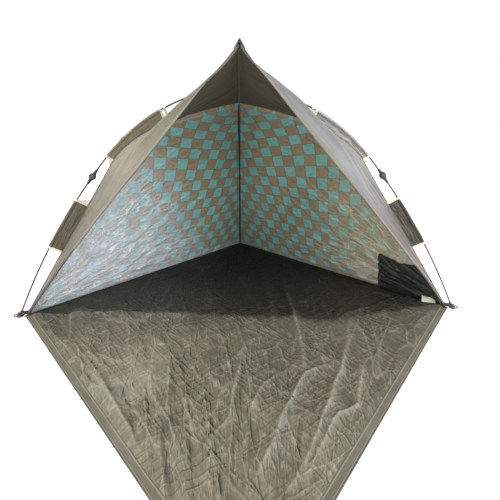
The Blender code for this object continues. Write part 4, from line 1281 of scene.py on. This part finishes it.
def elbow(side, materials):
    """Folding elbow: two ribbed sockets, tapered cheeks and the pin they turn on."""
    angle, stretch = LEGS[side]
    middle, along = elbow_place(stretch)
    place = leg_place(middle, angle)
    axis = leg_way(along, angle)
    across = leg_across(angle)
    half = ELBOW_LENGTH / 2
    low = [(0.0050, -half), (0.0062, -half + 0.0006), (0.0064, -half + 0.0040), (0.0056, -half + 0.0046),
           (0.0056, -half + 0.0080), (0.0066, -half + 0.0088), (0.0070, -half + 0.0125),
           (0.0062, -half + 0.0132)]
    profile = list(low)
    for step in range(1, 24):
        share = step / 24
        height = (-half + 0.0132) * (1 - 2 * share)
        profile.append((0.0062 + 0.0098 * sin(pi * share ** 1.15) ** 1.6, height))
    profile += [(radius, -height) for radius, height in reversed(low)]
    body = turned("elbow_body_" + side, profile, place, axis, materials["plastic"], 48,
                  squash=0.80, hint=across)
    dress(body, "black_plastic", "elbow_" + side)
    pin = [(0.0030, -0.0148), (0.0044, -0.0146), (0.0046, -0.0136)]
    pin += [(radius, -height) for radius, height in reversed(pin)]
    dress(turned("elbow_pin_" + side, pin, place, across, materials["plastic"], 28), "black_plastic")
    for sign in (-1, 1):
        cheek = [(0.0078, -0.0012), (0.0086, -0.0006), (0.0086, 0.0006), (0.0078, 0.0012)]
        item = turned("elbow_cheek_%s_%s" % ("in" if sign < 0 else "out", side), cheek,
                      place + across * sign * 0.0126, across, materials["smoke"], 36)
        dress(item, "black_plastic")


def foot(side, materials):
    """Pole foot: a ribbed base, a dome and the collar that holds the pole."""
    angle, stretch = LEGS[side]
    path = lower_pole(stretch)
    along = unit(path[1] - path[0])
    centre = np.array([path[0][0] - along[0] * path[0][1] / along[1], 0.0])
    place = leg_place(centre, angle)
    base = [(0.0120, 0.0), (0.0142, 0.0008), (0.0150, 0.0026), (0.0150, 0.0060), (0.0142, 0.0072),
            (0.0128, 0.0080), (0.0122, 0.0110), (0.0108, 0.0150), (0.0088, 0.0186), (0.0068, 0.0205)]
    item = turned("foot_body_" + side, base, place, (0, 0, 1), materials["plastic"], 72,
                  ribs=(18, 0.0009, 0.002, 0.0065))
    dress(item, "black_plastic", "foot_" + side)
    axis = leg_way(along, angle)
    collar = [(0.0052, 0.012), (0.0072, 0.0150), (0.0072, 0.0225), (0.0066, 0.0232), (0.0066, 0.0262),
              (0.0070, 0.0270), (0.0070, 0.0305), (0.0050, 0.0312)]
    item = turned("foot_collar_" + side, collar, place, axis, materials["plastic"], 32)
    dress(item, "black_plastic")
    # hook that the corner's webbing loop drops over
    t = np.linspace(0.0, 1.0, 26)
    bend = np.stack([0.0125 + 0.0115 * np.sin(pi * t), 0.0085 + 0.0065 * np.cos(pi * t) - 0.002 * t], axis=-1)
    hook = leg_place(bend + centre, angle)
    across = leg_across(angle)
    item = sweep("foot_hook_" + side, hook, oval(0.0062, 0.0040, 12), across, materials["plastic"])
    dress(item, "black_plastic")


def corner_strap(side, materials):
    """Webbing from the floor's corner to the foot, folded back and sewn down."""
    angle, stretch = LEGS[side]
    edge_way = unit(np.array([(SHOULDER_OUT - SPAN) * stretch, SHOULDER_HEIGHT]))
    corner = np.array([SPAN * stretch, 0.0])
    path = lower_pole(stretch)
    along = unit(path[1] - path[0])
    middle = path[0][0] - along[0] * path[0][1] / along[1]
    across = leg_across(angle)
    height = np.linspace(0.0045, 0.0245, 14)[None, :]
    t = np.linspace(0, 1, 30)[:, None]
    inner = corner[0] + edge_way[0] * height / edge_way[1] - 0.012
    outer = middle - np.maximum(0.0152, (height * abs(along[0]) + 0.004) / along[1])
    flat = np.stack(np.broadcast_arrays(inner + (outer - inner) * t, height + 0 * t), axis=-1)
    points = leg_place(flat, angle)
    bow = 0.0012 * np.sin(pi * t * 2) + 0.0006 * np.sin(height * 500)
    points = points + across * bow[..., None]
    item = trim_cloth("strap_" + side, points, flat, materials["webbing"], 0.0018)
    dress(item, "webbing", "corner_strap_" + side)
    declare(item, points, "stretched", "foot_body_" + side)


def leg(side, materials):
    stretch = LEGS[side][1]
    lower = lower_pole(stretch)
    upper = upper_pole(stretch)
    start = lengths_of(lower)[-1] - LOWER_SLEEVE_GAP - LOWER_SLEEVE_LENGTH
    sleeve(side, "lower", lower, start, LOWER_SLEEVE_LENGTH, materials)
    sleeve(side, "upper", upper, UPPER_SLEEVE_GAP, UPPER_SLEEVE_LENGTH, materials)
    elbow(side, materials)
    foot(side, materials)
    corner_strap(side, materials)


# Hub, strut and peak

HUB_HEIGHT = CROWN_HEIGHT + HUB_RISE
HUB_PLACE = np.array([0.0, CROWN_BACK, HUB_HEIGHT])


POCKET_TOP = 0.0074          # top of the tip's pocket above the strut's middle
POCKET_DEPTH = 0.0320
POCKET_FOOT = 0.0190         # half its width at its foot


def hub(materials):
    half = 0.018
    profile = [(0.010, -half), (0.0270, -half), (0.0300, -half + 0.0014), (0.0320, -half + 0.0036),
               (0.0320, half - 0.0080), (0.0306, half - 0.0066), (0.0296, half - 0.0060),
               (0.0290, half - 0.0034), (0.0262, half - 0.0018), (0.0180, half - 0.0008),
               (0.0172, half - 0.0016), (0.0120, half - 0.0016), (0.0112, half - 0.0002), (0.0060, half)]
    item = turned("hub_body", profile, HUB_PLACE, (0, 0, 1), materials["plastic"], 144,
                  ribs=(36, 0.0008, -half + 0.003, half - 0.007))
    dress(item, "black_plastic", "hub")
    ways = [leg_way(unit(np.array([1.0, -HUB_SLOPE])), LEGS[side][0]) for side in LEGS]
    ways.append(unit(PEAK + (0, 0, STRUT_OVER_PEAK) - HUB_PLACE))
    names = list(LEGS) + ["front"]
    collar = [(0.0048, 0.0300), (0.0078, 0.0302), (0.0082, 0.0318), (0.0082, 0.0350), (0.0070, 0.0358),
              (0.0070, 0.0420), (0.0064, 0.0432), (0.0046, 0.0434)]
    for name, way in zip(names, ways):
        dress(turned("hub_socket_" + name, collar, HUB_PLACE, way, materials["plastic"], 32), "black_plastic")
    button = [(0.0070, -0.0225), (0.0084, -0.0215), (0.0084, -0.0182), (0.0060, -0.0175)]
    dress(turned("hub_boss", button, HUB_PLACE, (0, 0, 1), materials["plastic"], 36), "black_plastic")


def crown_tie(materials):
    """Loop of webbing that hangs the crown from the hub."""
    low = CROWN_HEIGHT + 0.001
    high = HUB_HEIGHT - 0.019
    t = np.linspace(0, 1, 40)
    for sign, name in ((-1, "a"), (1, "b")):
        x = sign * (0.0016 + 0.0030 * np.sin(pi * t))
        path = np.stack([x, CROWN_BACK + 0.0 * t, low + (high - low) * t], axis=-1)
        band = oval(0.0120, 0.0014, 16, 5.0)
        item = sweep("crown_loop_" + name, path, band, (1, 0, 0), materials["webbing"])
        dress(item, "webbing", *(("crown_tie",) if sign < 0 else ()))


def peak(materials):
    """Cap on the strut's end, in the pocket of dark cloth at the visor's tip."""
    tip = PEAK + np.array([0.0, 0.0, STRUT_OVER_PEAK])
    along = unit(tip - HUB_PLACE)
    profile = [(0.0042, -0.0300), (0.0050, -0.0296), (0.0054, -0.0280), (0.0054, -0.0012), (0.0052, 0.0010),
               (0.0050, 0.0028), (0.0036, 0.0038), (0.0010, 0.0040)]
    item = turned("peak_cap_body", profile, tip, along, materials["plastic"], 40)
    dress(item, "black_plastic", "peak_cap")
    back = np.linspace(-0.080, 0.0066, 44)
    up = np.array([0.0, -along[2], along[1]])
    up = up if up[2] > 0 else -up
    reach = np.linspace(-1.0, 1.0, 31)
    sag = POCKET_DEPTH * (np.sqrt(reach ** 2 + 0.016) - sqrt(0.016))
    rings = []
    for distance in back:
        slim = 0.40 + 0.60 * rise(distance, -0.080, -0.020)
        outer = np.stack([POCKET_FOOT * reach, POCKET_TOP - sag], axis=-1) * slim
        inner = np.stack([(POCKET_FOOT - 0.0026) * reach, POCKET_TOP - 0.0030 - sag], axis=-1) * slim
        ring = np.concatenate([outer, inner[::-1]])
        offsets = np.outer(ring[:, 0], (1.0, 0.0, 0.0)) + np.outer(ring[:, 1], up)
        rings.append(tip + along * distance + offsets)
    dress(closed_tube("peak_pocket", np.array(rings), materials["piping"]), "webbing")


# Seams, hems and zips

def declare(item, points, held, *rests, tapers=False):
    """Works out how large the cloth was cut: its widest row, its longest or middle column and its area, and
    keeps none of them.
    """
    rows = np.linalg.norm(np.diff(points, axis=1), axis=-1).sum(axis=1).max()
    columns = np.linalg.norm(np.diff(points, axis=0), axis=-1).sum(axis=0)
    column = columns[columns.size // 2] if tapers else columns.max()
    faces = np.cross(points[1:, 1:] - points[:-1, :-1], points[1:, :-1] - points[:-1, 1:])
    area = np.linalg.norm(faces, axis=-1).sum() / 2
    width, length = max(rows, 0.011), max(column, 0.011)
    area = min(max(area, 0.301 * width * length), width * length)


def seam_cord(name, path, radius, material, lift=0.0, hint=(0.0, 0.0, 1.0)):
    """Piping along a seam."""
    path = np.asarray(path) + np.asarray(hint) * lift
    item = sweep(name, path, oval(radius * 2, radius * 2, 10), hint, material)
    return dress(item, "shell_cloth")


def ridge_seams(materials):
    share = np.linspace(0.012, 0.992, 200)
    for side, sign in SIDES.items():
        seam_cord("ridge_piping_" + side, side_ridge(sign, share), 0.0026, materials["piping"], 0.0010)
        corner = np.array([sign * FLOOR_HALF, 0.0, 0.0035])
        rear = np.array([0.0, FLOOR_HALF, 0.0035])
        t = np.linspace(0.01, 0.995, 120)[:, None]
        seam_cord("foot_piping_" + side, corner + (rear - corner) * t, 0.0028, materials["piping"])
    seam_cord("ridge_piping_rear", rear_ridge(share), 0.0026, materials["piping"], 0.0010)
    crown = np.array([0.0, CROWN_BACK, CROWN_HEIGHT])
    t = np.linspace(0.01, 0.985, 120)[:, None]
    visor = crown + (PEAK + TIP_LIFT - crown) * t
    seam_cord("visor_piping", visor, 0.0026, materials["piping"], 0.0010)
    tape = oval(REAR_TAPE, 0.0016, 14, 5.0)
    inner = rear_ridge(np.linspace(0.018, 0.985, 160))
    below = unit(np.gradient(inner, axis=0))[:, [0, 2, 1]] * np.array([0.0, 1.0, -1.0])
    below = np.where(below[:, 1:2] > 0, -below, below)
    item = sweep("rear_seam_binding", inner + below * 0.0055, tape, below, materials["tape"])
    dress(item, "black_tape", "rear_seam_tape")
    under = visor[3:-3] - np.array([0.0, 0.0, 0.0074])
    item = sweep("visor_seam_binding", under, tape, (0, 0, 1), materials["tape"])
    dress(item, "black_tape", "visor_ridge_tape")


REAR_TAPE = 0.0105


def edge_frame(sign, share):
    """Places along an opening edge, with the ways into the panel and out of it."""
    edge = opening_edge(sign, share)
    inner = unit(panel_place(sign, share, np.full(np.shape(share), 0.014)) - edge)
    along = unit(np.gradient(edge, axis=0))
    outward = unit(np.cross(along, inner)) * sign
    return edge, inner, outward


def edge_tube(name, frame_ways, across, thick, material):
    """A tube along an opening's edge; across reaches into the panel and thick out of it."""
    edge, inner, outward = frame_ways
    rings = edge[:, None] + inner[:, None] * across[..., None] + outward[:, None] * thick[..., None]
    return dress(closed_tube(name, rings, material), "black_tape" if "hem" not in name else "shell_cloth")


def opening_hem(side, materials):
    """Folded hem along the free edge of a front panel, and the zip's tape and coil beside it."""
    sign = SIDES[side]
    share = np.linspace(0.020, 0.996, 260)
    edge, inner, outward = edge_frame(sign, share)
    width = np.minimum(HEM_WIDTH, 0.45 * np.linalg.norm(side_ridge(sign, share) - edge, axis=-1))
    outline = oval(1.0, 1.0, 26, 6.0)
    ripple = 1.0 + 0.18 * drift(share * 90, share * 0, 31)
    across = (outline[:, 0] + 0.46)[None, :] * width[:, None]
    thick = outline[:, 1][None, :] * 0.0032 * ripple[:, None]
    edge_tube("opening_hem_" + side, (edge, inner, outward), across, thick, materials["hem"])
    share = np.linspace(0.030, 0.982, 400)
    edge, inner, outward = edge_frame(sign, share)
    outline = oval(0.0100, 0.0012, 12, 5.0)
    ways = (edge - inner * 0.0022, inner, outward)
    edge_tube("zip_tape_" + side, ways, outline[None, :, 0], outline[None, :, 1], materials["zip"])
    corner_binding(side, materials)
    coil("opening_zip_coil_" + side, edge - inner * 0.0062, outward, materials, "opening_zip_" + side)


BINDING_END = {"left": 0.30, "right": 0.21}


def corner_binding(side, materials):
    """Black tape folded over the lowest part of an opening's edge."""
    end = BINDING_END[side]
    share = np.linspace(0.012, end, 90)
    edge, inner, outward = edge_frame(SIDES[side], share)
    outline = oval(1.0, 1.0, 20, 5.0)
    size = 1.0 - 0.6 * rise(share, end - 0.10, end)
    across = (outline[:, 0] * 0.026 + 0.002)[None, :] * size[:, None]
    thick = (outline[:, 1] * 0.0056)[None, :]
    edge_tube("corner_binding_" + side, (edge, inner, outward), across, thick, materials["tape"])


COIL_PITCH = 0.0012
COIL_WIDTH = 0.0042
COIL_HEIGHT = 0.0032


def coil_rings(path, hint):
    """Rings of a zip's coil, which swells at each turn."""
    length = lengths_of(path)[-1]
    count = int(length / COIL_PITCH)
    dense = at_lengths(path, np.linspace(0, length, count))
    swell = np.where(np.arange(count) % 2 == 0, 1.0, 0.72)[:, None, None]
    return rings_along(dense, oval(COIL_WIDTH, COIL_HEIGHT, 6) * swell, hint)


def coil(name, path, outward, materials, node):
    item = closed_tube(name, coil_rings(path, outward.mean(axis=0)), materials["coil"], 80.0)
    return dress(item, "black_tape", node)


# Hems of the flap

def flap_hem(side, materials):
    sign = SIDES[side]
    tip = flap_half(np.zeros(1))[1]
    t = np.linspace(0, 1, 240)[:, None]
    distance = 0.006 + (tip - 0.034 - 0.006) * t
    across = np.linspace(0.0008, 0.0255, 17)[None, :]
    half = flap_half(distance)[0]
    slope = hypot(1.0, FLOOR_HALF / FLAP_LENGTH)
    x = half - across * slope
    y = FOLD_Y - distance + 0 * across
    ground = GROUND_LEVEL + ground_relief(sign * x, y) * rise((half - x) / sqrt(2), *GROUND_CALM)
    ridges = np.exp(-((across - 0.0035) / 0.0014) ** 2) + np.exp(-((across - 0.0225) / 0.0013) ** 2)
    ridges = ridges + 0.6 * np.exp(-((across - 0.0125) / 0.0012) ** 2)
    pucker = 1.0 + 0.5 * drift(distance * 60, across * 120, 91)
    z = ground + 0.0014 + 0.0011 * ridges * pucker
    points = np.stack([sign * x, y, z + 0 * x], axis=-1)
    maps = np.stack([distance + 0 * across, across + 0 * distance], axis=-1)
    if sign < 0:
        points, maps = points[:, ::-1], maps[:, ::-1]
    item = cloth("flap_hem_" + side, points, {"cloth": maps, "grain": maps}, materials["flap_hem"],
                 materials["under"], 0.0009)
    dress_flap(item, "flap_cloth")
    declare(item, points, "laid", "flap_cloth")
    distance = 0.012 + (tip - 0.050 - 0.012) * np.linspace(0, 1, 200)
    half = flap_half(distance)[0]
    path = np.stack([sign * (half + 0.0018), FOLD_Y - distance, np.full_like(half, 0.0024)], axis=-1)
    rings = coil_rings(path, np.array([0.0, 0.0, 1.0]))
    item = closed_tube("flap_zip_coil_" + side, rings, materials["coil"], 80.0)
    dress_flap(item, "black_tape", "flap_zip_" + side)


# Pocket and tag

WALL_WAY = (-0.683, -0.683, -0.258)     # from the right wall into the tent


def pocket_place(reach, height, lift):
    return wall_skin(1.0, WALL_CORNER + reach, height, -lift)


def pocket(materials):
    """Mesh pocket on the right wall, open at its sagging top."""
    rows, columns = 46, 70
    t = np.linspace(0, 1, rows)[:, None]
    share = np.linspace(0, 1, columns)[None, :]
    start = POCKET_START + (POCKET_TOP_START - POCKET_START) * t
    reach = start + (POCKET_END - start) * share
    top = POCKET_HIGH_NEAR + (POCKET_HIGH_FAR - POCKET_HIGH_NEAR) * share - POCKET_SAG * np.sin(pi * share)
    height = POCKET_LOW + (top - POCKET_LOW) * t
    open_mouth = t ** 2 * np.sin(pi * share) ** 0.7
    folds = crumple(reach * 1.0 + height * 0.8, height - reach * 0.7, 0.12, 0.030, 830)
    lift = 0.0034 + 0.0060 * open_mouth + 0.0030 * (0.5 + folds) * np.sin(pi * share) * (0.3 + 0.7 * t)
    points = pocket_place(reach, height, lift)
    maps = np.stack([reach, height], axis=-1)
    item = trim_cloth("pocket_mesh", points[:, ::-1], maps[:, ::-1], materials["mesh"], 0.0006)
    dress(item, "mesh_cloth", "mesh_pocket")
    declare(item, points, "hung", "wall_cloth_right")
    side_run = np.linspace(POCKET_LOW - 0.004, POCKET_HIGH_FAR + 0.004, 60)
    far_side = pocket_place(np.full(60, POCKET_END + 0.003), side_run, np.full(60, 0.0040))
    hems = (
        ("pocket_hem", points[-1], 0.0085, 0.0026, ()),
        ("pocket_edge", far_side, 0.0110, 0.0028, ("pocket_binding",)),
        ("pocket_foot", points[0], 0.0080, 0.0022, ()),
        ("pocket_front", points[:, 0], 0.0080, 0.0022, ()),
    )
    for name, path, width, thick, replaced in hems:
        item = sweep(name, path, oval(width, thick, 14, 4.0), WALL_WAY, materials["tape"])
        dress(item, "black_tape", *replaced)


TAG_SIZE = (0.065, 0.038)
TAG_PLACE = (FLOOR_HALF - 0.079, 0.032)
TAG_TURN = radians(-24.0)
TAG_RISE = 0.027              # its free side stands up


def tag(materials):
    u = np.linspace(-0.5, 0.5, 26)[:, None] * TAG_SIZE[0]
    v = np.linspace(-0.5, 0.5, 18)[None, :] * TAG_SIZE[1]
    back = v * sqrt(1 - (TAG_RISE / TAG_SIZE[1]) ** 2)
    x = TAG_PLACE[0] + u * cos(TAG_TURN) - back * sin(TAG_TURN)
    y = TAG_PLACE[1] + u * sin(TAG_TURN) + back * cos(TAG_TURN)
    curl = TAG_RISE * (v / TAG_SIZE[1] + 0.5) ** 1.2 + 0.0026 * (u / TAG_SIZE[0] + 0.5) ** 2
    curl = curl + 0.0008 * drift(u * 60, v * 60, 12)
    half = FLOOR_HALF + FLOOR_MARGIN - y
    under = ground_relief(x, y) * rise((half - np.abs(x)) / sqrt(2), *GROUND_CALM)
    z = under + 0.0030 + curl
    points = np.stack([x, y, z], axis=-1)
    maps = np.stack(np.broadcast_arrays(u, v), axis=-1)
    item = trim_cloth("tag", points, maps, materials["tag"])
    dress(item, "tag_cloth", "blank_tag")
    declare(item, points, "laid", "floor_cloth")


# Stage and light

SKY_LIGHT = 0.55
SUN_LIGHT = 4.2
SUN_WAY = (-0.45, -0.06, 1.125)


def make_stage():
    bpy.context.scene.view_settings.view_transform = "Standard"
    material, tree, shader = new_material("pale_floor")
    shader.inputs["Base Color"].default_value = (0.82, 0.82, 0.82, 1.0)
    shader.inputs["Roughness"].default_value = 0.9
    bpy.ops.mesh.primitive_plane_add(size=60.0, location=(0.0, 0.0, -0.0005))
    ground = bpy.context.object
    ground.name = "studio_floor"
    ground.data.materials.append(material)
    make_world()
    make_sun()
    make_area("fill_right", (2.2, -2.6, 1.5), (-0.3, 0.3, 0.4), 2.5, 100.0, (0.90, 0.95, 1.0))
    make_area("fill_left", (-1.5, -3.2, 1.2), (0.4, 0.4, 0.4), 2.0, 45.0, (1.0, 0.98, 0.95))


def make_world():
    """A white backdrop that lights less strongly than it looks."""
    world = bpy.data.worlds.new("studio")
    world.use_nodes = True
    tree = world.node_tree
    seen = add(tree, "ShaderNodeLightPath").outputs["Is Camera Ray"]
    strength = add(tree, "ShaderNodeMapRange", {"Value": seen, "To Min": SKY_LIGHT, "To Max": 1.0})
    background = tree.nodes["Background"]
    background.inputs["Color"].default_value = (1.0, 1.0, 1.0, 1.0)
    tree.links.new(strength.outputs[0], background.inputs["Strength"])
    bpy.context.scene.world = world


def make_sun():
    data = bpy.data.lights.new("key", "SUN")
    data.energy = SUN_LIGHT
    data.angle = radians(3.0)
    data.color = (1.0, 0.965, 0.90)
    key = new_object("key", data)
    key.rotation_mode = "QUATERNION"
    key.rotation_quaternion = Vector(SUN_WAY).to_track_quat("Z", "Y")


def make_area(name, place, target, size, energy, colour):
    data = bpy.data.lights.new(name, "AREA")
    data.shape = "DISK"
    data.size = size
    data.energy = energy
    data.color = colour
    item = new_object(name, data)
    item.location = place
    item.rotation_mode = "QUATERNION"
    item.rotation_quaternion = (Vector(place) - Vector(target)).to_track_quat("Z", "Y")


def finish_solids(materials):
    """Drawn rods keep their solid shape and get a real surface."""
    for name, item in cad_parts.items():
        if "pole" in name or name == "visor_strut":
            item.data.materials.clear()
            item.data.materials.append(materials["pole"])
            item.data.shade_smooth()
            item.data.set_sharp_from_angle(angle=radians(50))


def main():
    make_camera()
    make_stage()
    materials = make_materials()
    finish_solids(materials)
    for side in SIDES:
        rear_wall(side, materials)
        front_panel(side, materials)
        opening_hem(side, materials)
    floor_cloth(materials)
    flap_cloth(materials)
    for side in SIDES:
        flap_hem(side, materials)
    ridge_seams(materials)
    for side in LEGS:
        leg(side, materials)
    hub(materials)
    crown_tie(materials)
    peak(materials)
    pocket(materials)
    tag(materials)


main()
